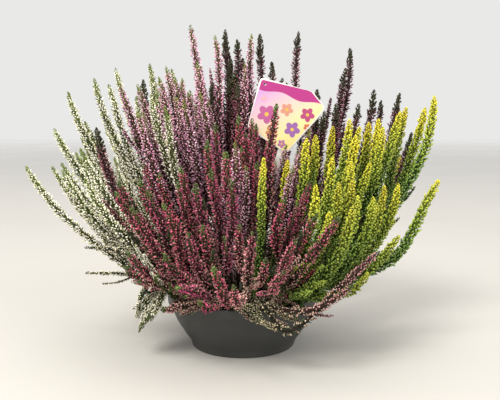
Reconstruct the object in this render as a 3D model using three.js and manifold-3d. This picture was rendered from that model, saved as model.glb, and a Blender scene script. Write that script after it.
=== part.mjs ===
/*
  Potted heather: a round plastic planting bowl filled with soil, five young heathers (white, pink,
  purple, red and yellow-leaved) and a plant label on a stake.
  Millimetres, +Z up. The origin is the middle of the bowl's foot, on the surface it stands on, and
  -Y is the front.
*/
import * as THREE from 'three';
import { mergeVertices } from 'three/addons/utils/BufferGeometryUtils.js';
import Module from 'manifold-3d';

const wasm = await Module();
wasm.setup();

// ---------------------------------------------------------------- driving dimensions

// Bowl. Its profiles are [radius, height] pairs.
const FOOT_RADIUS = 68;
const BOWL_HEIGHT = 70;
const WALL = 2;
const FLOOR = 2.5;
const BODY = [[FOOT_RADIUS, 0], [70, 8], [77, 18], [88, 36], [95.5, 56]]; // outside, up to the collar
const COLLAR = [[98.8, 58], [99.6, 69], [99, BOWL_HEIGHT]]; // the upright band under the rim
const MOUTH = [[96.8, 60], [97.5, BOWL_HEIGHT]]; // inside, behind the collar
const DRAIN_COUNT = 8;
const DRAIN_RADIUS = 2.5;
const DRAIN_CIRCLE = 48; // radius of the circle of drainage holes
const DRAIN_SIDES = 8;
const ROUND_SIDES = 32; // facets round the bowl and the soil

// Soil.
const SOIL_LEVEL = 62;
const SOIL_GAP = 0.3; // between the soil and the bowl
const SOIL_EDGE = 96.4; // radius of its level edge
const SOIL_CIRCLES = [1, 0.82, 0.56, 0.28]; // rows of corners on its top, as parts of the edge's radius
const SOIL_BUMP = 1.2; // height of the lumps on its surface
const SOIL_WAVES = [9, 11]; // their length along X and along Y, over 2 pi
const STEM_DEPTH = 18; // how deep stems and stake stand in the soil
const STEM_HOLE = 2.6; // radius of the hole round a stem
const STEM_HOLE_SIDES = 6;

// Label, in the card's own upright frame with its middle at 0, 0.
const CARD_THICKNESS = 0.8;
const CARD_PLACE = [55, 25, 298];
const CARD_TILT = THREE.MathUtils.degToRad(16); // the label leans over, its foot to the left
const CARD_OUTLINE = [[-45, 40], [26, 41], [47, 26], [46, 17], [16, -47], [-44, -28]];
const CARD_HOLE = [-37, 33, 2]; // x, y and radius of the hole in its corner
const CARD_HOLE_SIDES = 12;
const STAKE_MIDDLE = 9; // x of the stake's centre line
const STAKE_WIDTH = 11;
const STAKE_TOP = -36;
const STAKE_POINT = -262; // the pointed end, in the soil
const STAKE_POINT_LENGTH = 16;

// Sprays.
const BARE_STEM = 1.4; // radius of a bare stem
const STEM_RISE = 5; // a stem stands straight up to this height over the soil
const FORK = 0.35; // a side shoot leaves the leader at this part of its own height
const SHOOT_STRAIGHT = 0.6; // part of a side shoot over which it turns to run with the leader
const ROOT_SPREAD = 86; // how far from the middle the flattest sprays are rooted
const FLORET_PITCH = 15; // between two rings of florets
const FEWEST_RINGS = 4; // on the shortest spike
const RING_FLORETS = 3; // florets in a ring
const LEADER_BASE = [8, 2.5]; // length over which a leader widens at first, and its radius there
const LEADER_SWELL = 70; // length from its foot at which a leader reaches its full radius
const SHOOT_SWELL = [15, 45]; // a side shoot is bare up to the first length and full from the second
const TIP_HALF = 12; // length from its tip at which a spike has half its radius
const TIP_SWELL = 60; // and all of it

// Each heather: its colour, the radius of its flowering spikes, and how far a spray bows
// outwards, as a part of its length for a spray that lies level.
const PLANTS = {
  white: { colour: '#d6d3ae', radius: 6.2, bow: 0.11 },
  pink: { colour: '#c86fa3', radius: 6.5, bow: 0.05 },
  purple: { colour: '#4a1d3a', radius: 5.6, bow: 0.22 },
  red: { colour: '#b01f4f', radius: 6.2, bow: 0.06 },
  yellow: { colour: '#a9bf25', radius: 5.6, bow: 0.25 },
};

// Every spray as the tips of its spikes, the leader first and then its side shoots. `root` is where
// it comes out of the soil if that isn't given by its lean, and `over` lists points it arches over.
const SPRAYS = {
  white: [
    { tips: [[-260, -70, 240], [-245, -15, 235], [-172, -40, 140]] },
    { tips: [[-230, -45, 285], [-208, -34, 255], [-150, -36, 178]] },
    { tips: [[-225, 5, 330], [-208, 22, 292], [-150, 18, 165]] },
    { tips: [[-205, 70, 350], [-180, 35, 340], [-180, 95, 365], [-150, 75, 190]] },
    { tips: [[-130, 80, 370], [-140, 22, 325], [-105, 120, 365]], root: [-44, 28] },
    { tips: [[-192, -72, 262], [-210, -90, 238], [-182, -98, 228]], root: [-66, -20] },
    { tips: [[-190, -78, 110], [-184, -106, 148]], root: [-80, -26], over: [[-116, -46, 98]] },
    { tips: [[-130, -70, 35], [-108, -104, 58]], root: [-77, -38], over: [[-104, -56, 90]] },
    { tips: [[-235, 110, 270], [-250, 60, 235], [-205, 140, 285], [-175, 95, 160]] },
    { tips: [[-165, 185, 210], [-195, 150, 235], [-150, 190, 250], [-140, 140, 150]] },
  ],
  pink: [
    { tips: [[-70, 60, 420], [-62, 38, 370], [-40, 92, 410], [-85, 75, 350]] },
    { tips: [[10, 80, 410], [2, 60, 370]], root: [9, 32] },
    { tips: [[-135, 10, 340], [-112, 32, 350], [-155, -15, 340], [-132, -38, 305]] },
    { tips: [[-105, 60, 365], [-90, 40, 350], [-75, 2, 320], [-55, 15, 330]] },
    { tips: [[-10, -60, 270], [-22, -30, 255]] },
    { tips: [[75, -15, 265], [62, -40, 240]] },
    { tips: [[-80, 155, 335], [-112, 160, 305], [-75, 195, 270], [-70, 160, 185]] },
  ],
  purple: [
    { tips: [[-25, 122, 420], [-10, 105, 405], [-45, 115, 345]] },
    { tips: [[25, 130, 415], [40, 118, 375]], root: [8, 46] },
    { tips: [[80, 150, 420], [60, 112, 345]] },
    { tips: [[130, 75, 315], [105, 95, 335], [112, 65, 305], [160, 82, 315]] },
    { tips: [[155, 130, 395], [145, 112, 365]] },
    { tips: [[185, 105, 335], [200, 122, 320]] },
    { tips: [[220, 95, 330], [236, 82, 275]] },
    { tips: [[-185, -18, 285]], root: [-52, -4] },
    { tips: [[-145, 120, 350], [-118, 145, 340]] },
    { tips: [[-15, 175, 350], [10, 185, 330], [-45, 165, 345]] },
    { tips: [[30, 205, 285], [0, 215, 265], [60, 190, 310], [15, 175, 170]] },
    { tips: [[110, 175, 330], [90, 190, 300], [140, 190, 260], [90, 155, 170]] },
  ],
  red: [
    { tips: [[40, -35, 315], [18, -25, 290], [20, -50, 245]] },
    { tips: [[-35, 0, 290], [-42, -45, 270], [-5, -5, 300]] },
    { tips: [[-35, -95, 240], [-20, -85, 258], [-52, -112, 225], [-12, -115, 230], [-20, -125, 165]] },
    { tips: [[-75, -60, 240], [-105, -42, 230], [-75, -98, 225], [-85, -95, 165]] },
    { tips: [[-125, -25, 240], [-125, -55, 225], [-152, -50, 222]] },
    { tips: [[-150, -88, 212], [-112, -95, 215]], root: [-60, -42] },
    { tips: [[-125, -135, 200], [-88, -135, 205], [-130, -132, 150], [-140, -100, 125]] },
    { tips: [[-60, -158, 175], [-45, -140, 182], [-85, -150, 150]] },
    { tips: [[10, -150, 175], [-8, -188, 125], [28, -150, 145]] },
    { tips: [[-30, -195, 145], [-48, -165, 100]] },
    { tips: [[-70, -190, 120], [-120, -128, 112], [-90, -152, 88]], over: [[-44, -120, 96]] },
    { tips: [[110, -142, 190], [62, -150, 165], [48, -160, 135], [85, -118, 190]], root: [22, -70] },
    { tips: [[155, -130, 150], [125, -146, 112]], root: [14, -84], over: [[22, -108, 86], [60, -132, 58]] },
    { tips: [[85, -42, 220], [50, -88, 205], [68, -62, 195]], root: [28, -44] },
    { tips: [[-94, -86, 66], [-66, -110, 68]], root: [-50, -66], over: [[-68, -86, 82]] },
  ],
  yellow: [
    { tips: [[255, 35, 325], [245, 55, 310], [220, 45, 310], [205, 20, 305], [170, 30, 160]] },
    { tips: [[180, 25, 295], [182, 2, 285], [170, 50, 290], [152, 18, 285], [162, -15, 240]],
      root: [52, 14] },
    { tips: [[135, -5, 295], [140, -28, 275], [120, 38, 285]], root: [52, -4] },
    { tips: [[80, -32, 272], [92, -12, 275]], root: [35, -20] },
    { tips: [[110, -55, 250], [115, -82, 222], [132, -60, 245], [132, -80, 225]] },
    { tips: [[122, -132, 200], [132, -110, 210], [146, -106, 120]], root: [56, -58] },
    { tips: [[25, -68, 250]] },
    { tips: [[84, -106, 222], [100, -118, 192]], root: [40, -55] },
    { tips: [[155, -85, 205], [175, -52, 215], [195, -35, 215]] },
    { tips: [[245, -40, 220], [185, -95, 160], [165, -45, 120]], root: [66, -12],
      over: [[112, -20, 86], [190, -32, 120]] },
    { tips: [[95, -124, 112], [80, -128, 100], [112, -120, 98]], root: [50, -68],
      over: [[66, -91, 92]] },
    { tips: [[205, 125, 265], [185, 140, 275], [228, 108, 240], [170, 110, 155]] },
  ],
};

// ---------------------------------------------------------------- helpers

const UP = new THREE.Vector3(0, 0, 1);

// Drops what isn't a position and merges the shared corners, so that the mesh is closed.
function closed(geometry) {
  geometry.deleteAttribute('normal');
  geometry.deleteAttribute('uv');
  return mergeVertices(geometry, 1e-3);
}

function toSolid(geometry) {
  const { attributes, index } = closed(geometry);
  return new wasm.Manifold(new wasm.Mesh({
    numProp: 3,
    vertProperties: new Float32Array(attributes.position.array),
    triVerts: new Uint32Array(index.array),
  }));
}

function toGeometry(solid) {
  const { vertProperties, triVerts } = solid.getMesh();
  const geometry = new THREE.BufferGeometry();
  geometry.setAttribute('position', new THREE.BufferAttribute(vertProperties, 3));
  geometry.setIndex(new THREE.BufferAttribute(triVerts, 1));
  return geometry;
}

// Moves each vertex of a geometry to where `place` sends it.
function moveVertices(geometry, place) {
  const { position } = geometry.attributes;
  const vertex = new THREE.Vector3();
  for (let i = 0; i < position.count; i += 1) {
    place(vertex.fromBufferAttribute(position, i));
    position.setXYZ(i, vertex.x, vertex.y, vertex.z);
  }
  return geometry;
}

// An upright prism with its foot at a point, for holes.
function post(radius, sides, [x, y], from, to) {
  const geometry = new THREE.CylinderGeometry(radius, radius, to - from, sides);
  return geometry.rotateX(Math.PI / 2).translate(x, y, (from + to) / 2);
}

// A profile of [radius, height] pairs turned round the Z axis.
function turned(profile) {
  const points = profile.map(([radius, height]) => new THREE.Vector2(radius, height));
  return new THREE.LatheGeometry(points, ROUND_SIDES).rotateX(Math.PI / 2);
}

function mesh(name, geometry, colour, roughness) {
  const material = new THREE.MeshStandardMaterial({ color: colour, roughness, metalness: 0 });
  const made = new THREE.Mesh(geometry, material);
  made.name = name;
  return made;
}

// ---------------------------------------------------------------- bowl and soil

// The bowl's inside from the floor up to the rim, one wall in from its outside.
const INSIDE = [
  [FOOT_RADIUS - WALL, FLOOR], ...BODY.slice(2).map(([radius, height]) => [radius - WALL, height]), ...MOUTH,
];

function bowlGeometry() {
  let bowl = toSolid(turned([[0, 0], ...BODY, ...COLLAR, ...[...INSIDE].reverse(), [0, FLOOR]]));
  for (let i = 0; i < DRAIN_COUNT; i += 1) {
    const angle = (2 * Math.PI * (i + 0.5)) / DRAIN_COUNT;
    const place = [DRAIN_CIRCLE * Math.cos(angle), DRAIN_CIRCLE * Math.sin(angle)];
    bowl = bowl.subtract(toSolid(post(DRAIN_RADIUS, DRAIN_SIDES, place, -1, FLOOR + 1)));
  }
  return toGeometry(bowl);
}

// The soil follows the bowl's inside. Its top is lumpy and keeps level at the bowl's wall.
function soilGeometry(roots) {
  const side = INSIDE.filter(([, height]) => height < SOIL_LEVEL)
    .map(([radius, height]) => [radius - SOIL_GAP, height + SOIL_GAP]);
  const top = SOIL_CIRCLES.map((part) => [SOIL_EDGE * part, SOIL_LEVEL]);
  const floor = FLOOR + SOIL_GAP;
  const [waveX, waveY] = SOIL_WAVES;
  const shape = moveVertices(turned([[0, floor], ...side, ...top, [0, SOIL_LEVEL]]), (vertex) => {
    if (vertex.z < SOIL_LEVEL - 1 || Math.hypot(vertex.x, vertex.y) > SOIL_EDGE - 1) return;
    vertex.z += SOIL_BUMP * Math.sin(vertex.x / waveX + 1) * Math.cos(vertex.y / waveY);
  });
  let soil = toSolid(shape);
  for (const root of roots) {
    const hole = post(STEM_HOLE, STEM_HOLE_SIDES, root, SOIL_LEVEL - STEM_DEPTH - 1, BOWL_HEIGHT);
    soil = soil.subtract(toSolid(hole));
  }
  return toGeometry(soil.subtract(toSolid(labelGeometry(SOIL_GAP))));
}

// ---------------------------------------------------------------- label

// The card and its stake, one flat piece; `extra` makes it that much larger all round.
function labelGeometry(extra = 0) {
  const half = STAKE_WIDTH / 2 + extra;
  const stakeOutline = [
    [STAKE_MIDDLE - half, STAKE_TOP], [STAKE_MIDDLE + half, STAKE_TOP],
    [STAKE_MIDDLE + half, STAKE_POINT + STAKE_POINT_LENGTH], [STAKE_MIDDLE, STAKE_POINT - 4 * extra],
    [STAKE_MIDDLE - half, STAKE_POINT + STAKE_POINT_LENGTH],
  ];
  const depth = CARD_THICKNESS + 2 * extra;
  const flat = (outline) => {
    const shape = new THREE.Shape(outline.map(([x, y]) => new THREE.Vector2(x, y)));
    return new THREE.ExtrudeGeometry(shape, { depth, bevelEnabled: false }).translate(0, 0, -depth / 2);
  };
  const [x, y, radius] = CARD_HOLE;
  const hole = new THREE.CylinderGeometry(radius, radius, 4 * CARD_THICKNESS, CARD_HOLE_SIDES)
    .rotateX(Math.PI / 2).translate(x, y, 0);
  const card = toSolid(flat(CARD_OUTLINE)).subtract(toSolid(hole));
  return toGeometry(card.add(toSolid(flat(stakeOutline))))
    .rotateX(Math.PI / 2)
    .rotateY(CARD_TILT)
    .translate(...CARD_PLACE);
}

// ---------------------------------------------------------------- sprays

// Where a spray comes out of the soil. The flatter it leans, the nearer the rim it is rooted.
function rootOf({ tips: [[x, y, z]], root }) {
  if (root) return root;
  const reach = Math.hypot(x, y);
  const lean = Math.atan2(reach, z - SOIL_LEVEL);
  const part = (ROOT_SPREAD * Math.sin(lean) ** 0.75) / reach;
  return [x * part, y * part];
}

// The leader's course over the soil: an even bend that bows outwards, so that it ends steeper than
// it starts, or a smooth line through the points that it arches over.
function leaderCurve(spray, plant) {
  const start = new THREE.Vector3(...rootOf(spray), SOIL_LEVEL + STEM_RISE);
  const tip = new THREE.Vector3(...spray.tips[0]);
  if (spray.over) {
    const over = spray.over.map((point) => new THREE.Vector3(...point));
    return new THREE.CatmullRomCurve3([start, ...over, tip], false, 'catmullrom', 0.5);
  }
  const chord = tip.clone().sub(start);
  const across = new THREE.Vector3(-chord.y, chord.x, 0);
  const outwards = across.cross(chord).normalize();
  const level = Math.hypot(chord.x, chord.y);
  const middle = start.clone().lerp(tip, 0.5).addScaledVector(outwards, 2 * plant.bow * level);
  return new THREE.QuadraticBezierCurve3(start, middle, tip);
}

// A side shoot's course: it leaves the leader at a share of its own height, then turns until it
// ends alongside the leader.
function shootCurve(leader, tip) {
  const end = new THREE.Vector3(...tip);
  const [foot, top] = [leader.getPoint(0), leader.getPoint(1)];
  const height = Math.min(1, foot.distanceTo(end) / foot.distanceTo(top));
  const start = leader.getPoint(FORK * height);
  const upright = leader.getTangent(height);
  const middle = end.clone().addScaledVector(upright, -SHOOT_STRAIGHT * start.distanceTo(end));
  return new THREE.QuadraticBezierCurve3(start, middle, end);
}

// The value at x of straight lines through the given [x, value] points.
function along(points, x) {
  const next = points.findIndex(([at]) => at >= x);
  if (next <= 0) return points.at(next)[1];
  const [[x0, y0], [x1, y1]] = [points[next - 1], points[next]];
  return THREE.MathUtils.mapLinear(x, x0, x1, y0, y1);
}

// How far the florets reach from the middle of a spike, `fromFoot` and `fromTip` being lengths.
function reliefRadius(radius, fromFoot, fromTip, isLeader) {
  const foot = isLeader
    ? [[0, BARE_STEM], LEADER_BASE, [LEADER_SWELL, radius]]
    : [[0, BARE_STEM], [SHOOT_SWELL[0], BARE_STEM], [SHOOT_SWELL[1], radius]];
  const tip = [[0, 0], [TIP_HALF, radius / 2], [TIP_SWELL, radius]];
  return Math.min(along(foot, fromFoot), along(tip, fromTip));
}

/*
  One spike as a closed body. It is a slim three-sided core raised into rings of florets: each ring
  has its corners out where the rings above and below have their flat sides. Rings are counted from
  the tip down. A leader goes on straight down into its hole in the soil.
*/
function spikeGeometry(curve, radius, isLeader) {
  const length = curve.getLength();
  const rings = Math.max(FEWEST_RINGS, Math.round(length / FLORET_PITCH));
  const rows = isLeader ? rings + 1 : rings;
  const across = curve.getPoint(1).sub(curve.getPoint(0)).cross(UP).normalize();
  return moveVertices(new THREE.CylinderGeometry(0, 1, 1, RING_FLORETS, rows), (vertex) => {
    const share = 0.5 - vertex.y;
    const row = Math.round(share * rows);
    const rim = share > 0 ? Math.hypot(vertex.x, vertex.z) / share : 0;
    const turn = Math.atan2(vertex.x, vertex.z) + (row * Math.PI) / RING_FLORETS;
    const part = Math.max(0, 1 - row / rings);
    const inSoil = row >= rings;
    const forward = inSoil && isLeader ? UP : curve.getTangentAt(part);
    const side = across.clone().addScaledVector(forward, -across.dot(forward)).normalize();
    const front = side.clone().cross(forward);
    const reach = rim * reliefRadius(radius, part * length, (1 - part) * length, isLeader);
    vertex.copy(curve.getPointAt(part))
      .addScaledVector(side, reach * Math.sin(turn))
      .addScaledVector(front, reach * Math.cos(turn));
    if (row > rings) vertex.z = SOIL_LEVEL - STEM_DEPTH;
  });
}

function sprayGeometry(spray, plant) {
  const leader = leaderCurve(spray, plant);
  let solid = toSolid(spikeGeometry(leader, plant.radius, true));
  for (const tip of spray.tips.slice(1)) {
    solid = solid.add(toSolid(spikeGeometry(shootCurve(leader, tip), plant.radius, false)));
  }
  // The outer shell alone: small hollows that the fusing sealed are filled, and scraps dropped.
  const shells = solid.decompose();
  return toGeometry(shells.reduce((best, shell) => (shell.volume() > best.volume() ? shell : best)));
}

// ---------------------------------------------------------------- the whole object

const heather = new THREE.Group();
const roots = Object.values(SPRAYS).flat().map(rootOf);
heather.add(mesh('bowl', bowlGeometry(), '#3b3d3f', 0.5));
heather.add(mesh('soil', soilGeometry(roots), '#2c2018', 0.95));
heather.add(mesh('label', labelGeometry(), '#e8cf8a', 0.4));
for (const [name, sprays] of Object.entries(SPRAYS)) {
  sprays.forEach((spray, i) => {
    const geometry = sprayGeometry(spray, PLANTS[name]);
    heather.add(mesh(`${name}_spray_${i + 1}`, geometry, PLANTS[name].colour, 0.8));
  });
}

export default heather;
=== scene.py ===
# %% [markdown]
# # Potted heather
# Five young heathers grow together in one shallow plastic bowl: a white, a pink, a purple and a
# red one in bud, and one with golden leaves. A picture label stands among them on a stake.
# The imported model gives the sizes, the places and the one body that everything moves with. Here
# each of its nodes is replaced by finer surfaces of the same form, which get the real finishes.

# %% Load the frame
import math
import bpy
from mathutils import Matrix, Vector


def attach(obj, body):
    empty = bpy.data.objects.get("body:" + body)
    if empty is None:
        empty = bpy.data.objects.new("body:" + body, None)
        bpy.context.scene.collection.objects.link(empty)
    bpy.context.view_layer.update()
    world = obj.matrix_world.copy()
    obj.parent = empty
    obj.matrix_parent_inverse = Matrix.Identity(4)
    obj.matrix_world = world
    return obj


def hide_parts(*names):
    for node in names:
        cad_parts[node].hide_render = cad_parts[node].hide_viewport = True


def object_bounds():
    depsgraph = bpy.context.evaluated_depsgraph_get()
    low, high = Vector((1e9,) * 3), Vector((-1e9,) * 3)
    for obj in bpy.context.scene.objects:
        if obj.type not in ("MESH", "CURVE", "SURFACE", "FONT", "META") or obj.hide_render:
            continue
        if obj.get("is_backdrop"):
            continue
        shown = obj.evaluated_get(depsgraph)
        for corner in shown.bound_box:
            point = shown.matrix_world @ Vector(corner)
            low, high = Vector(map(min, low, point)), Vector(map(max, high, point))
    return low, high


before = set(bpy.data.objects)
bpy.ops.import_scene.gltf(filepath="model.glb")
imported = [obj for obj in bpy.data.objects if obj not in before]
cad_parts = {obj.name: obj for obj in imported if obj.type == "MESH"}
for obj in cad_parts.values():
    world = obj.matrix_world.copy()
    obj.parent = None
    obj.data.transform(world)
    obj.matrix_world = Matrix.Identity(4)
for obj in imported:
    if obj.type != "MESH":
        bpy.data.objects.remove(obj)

from types import SimpleNamespace

import bpy
import numpy as np

cad_box = [list(corner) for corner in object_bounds()]
MM = 0.001
SEED = 11
rng = np.random.default_rng(SEED)
print(len(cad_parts), "nodes in a box of", [round(b - a, 3) for a, b in zip(*cad_box)], "m")

# %% [markdown]
# ## Camera, floor and light
# The plants are seen from about the height of their flowers with a longish lens, which keeps the
# upright spikes upright. The light is that of a bright room: a large soft lamp to the left, weaker
# ones to the right and overhead, and a pale surround, so that only the gaps between the stems go
# dark. A sharp sun lamp would be simpler, but it would put hard stripes over so many thin stems.

# %% Camera
CAMERA_PLACE = (0.009, -0.930, 0.310)
CAMERA_TILT = 7.35  # degrees below level
CAMERA_LENS, SENSOR_WIDTH = 51.84, 36  # mm


def placed(name, data):
    """A new object with this data, in the scene."""
    made = bpy.data.objects.new(name, data)
    bpy.context.scene.collection.objects.link(made)
    return made


camera_data = bpy.data.cameras.new("camera")
camera_data.sensor_width, camera_data.lens = SENSOR_WIDTH, CAMERA_LENS
camera = placed("camera", camera_data)
camera.location = CAMERA_PLACE
camera.rotation_euler = (math.radians(90 - CAMERA_TILT), 0, 0)
bpy.context.scene.camera = camera
bpy.context.scene.view_settings.view_transform = "Standard"
print("camera", CAMERA_PLACE)

# %% Lamps and surround
LAMP_AIM = (0, 0, 0.2)  # the middle of the plants
SURROUND_COLOUR, SURROUND_STRENGTH = (0.95, 0.945, 0.94, 1), 0.86


def soft_lamp(name, place, size, power, colour=(1, 1, 1)):
    """A square area lamp that looks at the plants."""
    data = bpy.data.lights.new(name, "AREA")
    data.size, data.energy, data.color = size, power, colour
    lamp = placed(name, data)
    lamp.location = place
    x, y, z = np.subtract(LAMP_AIM, place)
    lamp.rotation_euler = (math.atan2(math.hypot(x, y), -z), 0, math.atan2(y, x) - math.pi / 2)


soft_lamp("window", (-1.0, -1.5, 2.2), 1.0, 82, (1.0, 0.98, 0.94))
soft_lamp("reflector", (1.6, -1.4, 1.5), 1.5, 22)
soft_lamp("ceiling", (0.1, 0.7, 2.3), 1.8, 22)

world = bpy.data.worlds.new("pale room")
world.use_nodes = True
background = world.node_tree.nodes["Background"].inputs
background["Color"].default_value = SURROUND_COLOUR
background["Strength"].default_value = SURROUND_STRENGTH
bpy.context.scene.world = world
print(len(bpy.data.lights), "lamps")

# %% [markdown]
# ## Helpers for surfaces
# Everything below is worked out as whole arrays of points and put into a mesh in one go, which is
# fast enough for a hundred thousand buds. Two kinds of surface are enough for the whole object: a
# row of rings joined into a closed tube, and many copies of one small closed shape.

# %% Angles, rings and fans
def even_angles(count):
    """Angles at even steps round a circle."""
    return np.arange(count) * 2 * np.pi / count


def around_axis(angle, radius, height=0.0):
    """Points round the upright axis: x = r cos a, y = r sin a, z = height."""
    return np.stack([radius * np.cos(angle), radius * np.sin(angle), height + 0 * angle], -1)


def ring_faces(rows, k):
    """Two triangles for each step round each of `rows` rings of k points, to the ring after it.
    Point i of ring r has the number r k + i."""
    here = (np.arange(rows - 1)[:, None] * k + np.arange(k)).ravel()
    beside = (np.arange(rows - 1)[:, None] * k + (np.arange(k) + 1) % k).ravel()
    return np.vstack([np.stack([here, beside, beside + k], 1),
                      np.stack([here, beside + k, here + k], 1)])


def fan(ring, point, over=False):
    """A triangle from each side of a ring of points to one other point, turned over if asked."""
    after = np.roll(ring, -1)
    corners = (after, ring) if over else (ring, after)
    return np.stack([*corners, np.full(len(ring), point)], 1)


# %% Tubes and copies
def closed_tube(rings):
    """Joins rings (rows, k, 3) each to the next, and closes both ends with a point in the middle
    of the end ring."""
    rows, k, _ = rings.shape
    points = np.vstack([rings.reshape(-1, 3), rings[0].mean(0), rings[-1].mean(0)])
    ring = np.arange(k)
    return points, np.vstack([ring_faces(rows, k), fan(ring, rows * k, over=True),
                              fan(ring + (rows - 1) * k, rows * k + 1)])


def copied(faces, corners, count):
    """The faces of `count` copies of a shape, whose points follow each other `corners` at a time."""
    return (faces + corners * np.arange(count)[:, None, None]).reshape(-1, 3)


def merge(parts):
    """One set of points, faces and values from a list of (points, faces, values)."""
    starts = np.cumsum([0] + [len(points) for points, _, _ in parts[:-1]])
    points = np.vstack([part[0] for part in parts])
    faces = np.vstack([part[1] + start for part, start in zip(parts, starts)])
    values = {key: np.concatenate([part[2][key] for part in parts]) for key in parts[0][2]}
    return points, faces, values


def unit(vectors):
    """The vectors (n, 3), each divided by its length."""
    return vectors / np.maximum(np.linalg.norm(vectors, axis=-1, keepdims=True), 1e-9)


# %% Meshes from arrays
def outwards(points, faces):
    """The faces, turned round where the solid's signed volume, a sixth of the sum of
    a . (b x c) over its triangles, is negative."""
    a, b, c = (points[faces[:, i]] for i in range(3))
    volume = np.einsum("ij,ij->", a, np.cross(b, c)) / 6
    return faces if volume > 0 else faces[:, ::-1]


def piece(name, shape, material, nodes, sharp=None):
    """One object on the body "root" that stands for some CAD nodes. Its shape is points (n, 3) in
    millimetres, triangles (m, 3) and, for some, named values that are kept at the points for the
    material to read. Edges steeper than `sharp` degrees stay sharp."""
    points, faces, *values = shape
    mesh = bpy.data.meshes.new(name)
    mesh.vertices.add(len(points))
    mesh.vertices.foreach_set("co", (points * MM).astype(np.float32).ravel())
    faces = outwards(points, faces)
    mesh.loops.add(faces.size)
    mesh.loops.foreach_set("vertex_index", faces.astype(np.int32).ravel())
    mesh.polygons.add(len(faces))
    mesh.polygons.foreach_set("loop_start", np.arange(len(faces), dtype=np.int32) * 3)
    mesh.polygons.foreach_set("use_smooth", np.ones(len(faces), bool))
    mesh.update(calc_edges=True)
    for key, numbers in (values[0] if values else {}).items():
        layer = mesh.attributes.new(key, "FLOAT", "POINT")
        layer.data.foreach_set("value", numbers.astype(np.float32))
    if sharp:
        mesh.set_sharp_from_angle(angle=math.radians(sharp))
    mesh.materials.append(material)
    made = placed(name, mesh)
    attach(made, "root")
    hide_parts(*nodes)
    print(f"{name}: {len(faces)} triangles")
    return made


# %% [markdown]
# ## Helpers for finishes
# A finish is a small tree of shader nodes. Effects that several finishes share are groups, built
# once and placed with their own values: `growth_colour` colours buds and leaves from their foot to
# their point, with a painted highlight at the point, and `grain` gives the fine unevenness of
# plastic, card and bark.

# %% Nodes and their sockets
def linear(code):
    """A colour written as #rrggbb, turned from display values to light: ((c + 0.055) / 1.055) to
    the power 2.4, or c / 12.92 for the darkest."""
    display = np.array([int(code[i:i + 2], 16) for i in (1, 3, 5)]) / 255
    light = np.where(display > 0.04045, ((display + 0.055) / 1.055) ** 2.4, display / 12.92)
    return (*light.tolist(), 1)


def plug(node, inputs=(), **named):
    """Sets inputs of a node, by number or by name, or links another node's output to them."""
    for key, value in {**dict(inputs), **named}.items():
        socket = node.inputs[key.replace("_", " ") if isinstance(key, str) else key]
        if isinstance(value, bpy.types.NodeSocket):
            node.id_data.links.new(value, socket)
        else:
            socket.default_value = value


def add(tree, kind, settings=(), inputs=(), **named):
    """A new node with its own settings and its inputs. Returns its outputs."""
    made = tree.nodes.new("ShaderNode" + kind)
    for key, value in dict(settings).items():
        setattr(made, key, value)
    plug(made, inputs, **named)
    return made.outputs


# %% Common nodes
def mix(tree, factor, first, second):
    """The first colour blended towards the second by a factor."""
    return add(tree, "Mix", {"data_type": "RGBA"}, {0: factor, 6: first, 7: second})[2]


def spread(tree, value, low, high, to_low=0.0, to_high=1.0, way="LINEAR"):
    """A value between low and high, spread over another range and held at its ends."""
    return add(tree, "MapRange", {"interpolation_type": way}, Value=value, From_Min=low,
               From_Max=high, To_Min=to_low, To_Max=to_high)["Result"]


def sums(tree, operation, first, second=0.0):
    """A sum of two values, such as ADD, MULTIPLY or SINE."""
    return add(tree, "Math", {"operation": operation}, {0: first, 1: second})[0]


def kept(tree, key):
    """A number that the mesh keeps at its points."""
    return add(tree, "Attribute", {"attribute_name": key})["Fac"]


def ramp(tree, factor, stops):
    """A colour that changes through stops, each a place with its #rrggbb."""
    colour = add(tree, "ValToRGB", Fac=factor)["Color"]
    elements = colour.node.color_ramp.elements
    (low, first), *others, (high, last) = stops.items()
    elements[0].position, elements[1].position = low, high
    elements[0].color, elements[1].color = linear(first), linear(last)
    for place, code in others:
        elements.new(place).color = linear(code)
    return colour


# %% Finishes and groups
def finish_of(name, **sockets):
    """A new material, its node tree, and its Principled shader with some values set."""
    material = bpy.data.materials.new(name)
    material.use_nodes = True
    shader = material.node_tree.nodes["Principled BSDF"]
    plug(shader, **sockets)
    return material, material.node_tree, shader


def new_group(name, inputs, outputs):
    """An empty shader group, what it is given, and the node that takes its results. Inputs and
    outputs are the names of sockets, each with its kind."""
    group = bpy.data.node_groups.new(name, "ShaderNodeTree")
    for in_out, sockets in (("INPUT", inputs), ("OUTPUT", outputs)):
        for socket, kind in sockets.items():
            group.interface.new_socket(name=socket, in_out=in_out, socket_type="NodeSocket" + kind)
    return group, group.nodes.new("NodeGroupInput").outputs, group.nodes.new("NodeGroupOutput")


def use(tree, group, **sockets):
    """Puts a group into a material with its own values. Returns its outputs."""
    return add(tree, "Group", {"node_tree": group}, **sockets)


# %% Shared effects
growth_colour, given, result = new_group(
    "growth_colour",
    {"Body": "Color", "Foot": "Color", "Point": "Color", "Along": "Float", "Chance": "Float",
     "Tone": "Float", "Vary": "Float"},
    {"Colour": "Color"},
)
tree = growth_colour
# One growth in six is paler.
paler = spread(tree, given["Chance"], 0.83, 0.86, 0, 0.6)
body = mix(tree, paler, given["Body"], given["Point"])
# From the foot's colour to the body's over the first part, then a painted highlight: a little of the
# point's colour towards the growth's point.
from_foot = spread(tree, given["Along"], 0.2, 0.6, way="SMOOTHSTEP")
painted_highlight = spread(tree, given["Along"], 0.65, 1.0, 0, 0.55)
highlighted = mix(tree, painted_highlight, mix(tree, from_foot, given["Foot"], body), given["Point"])
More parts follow.
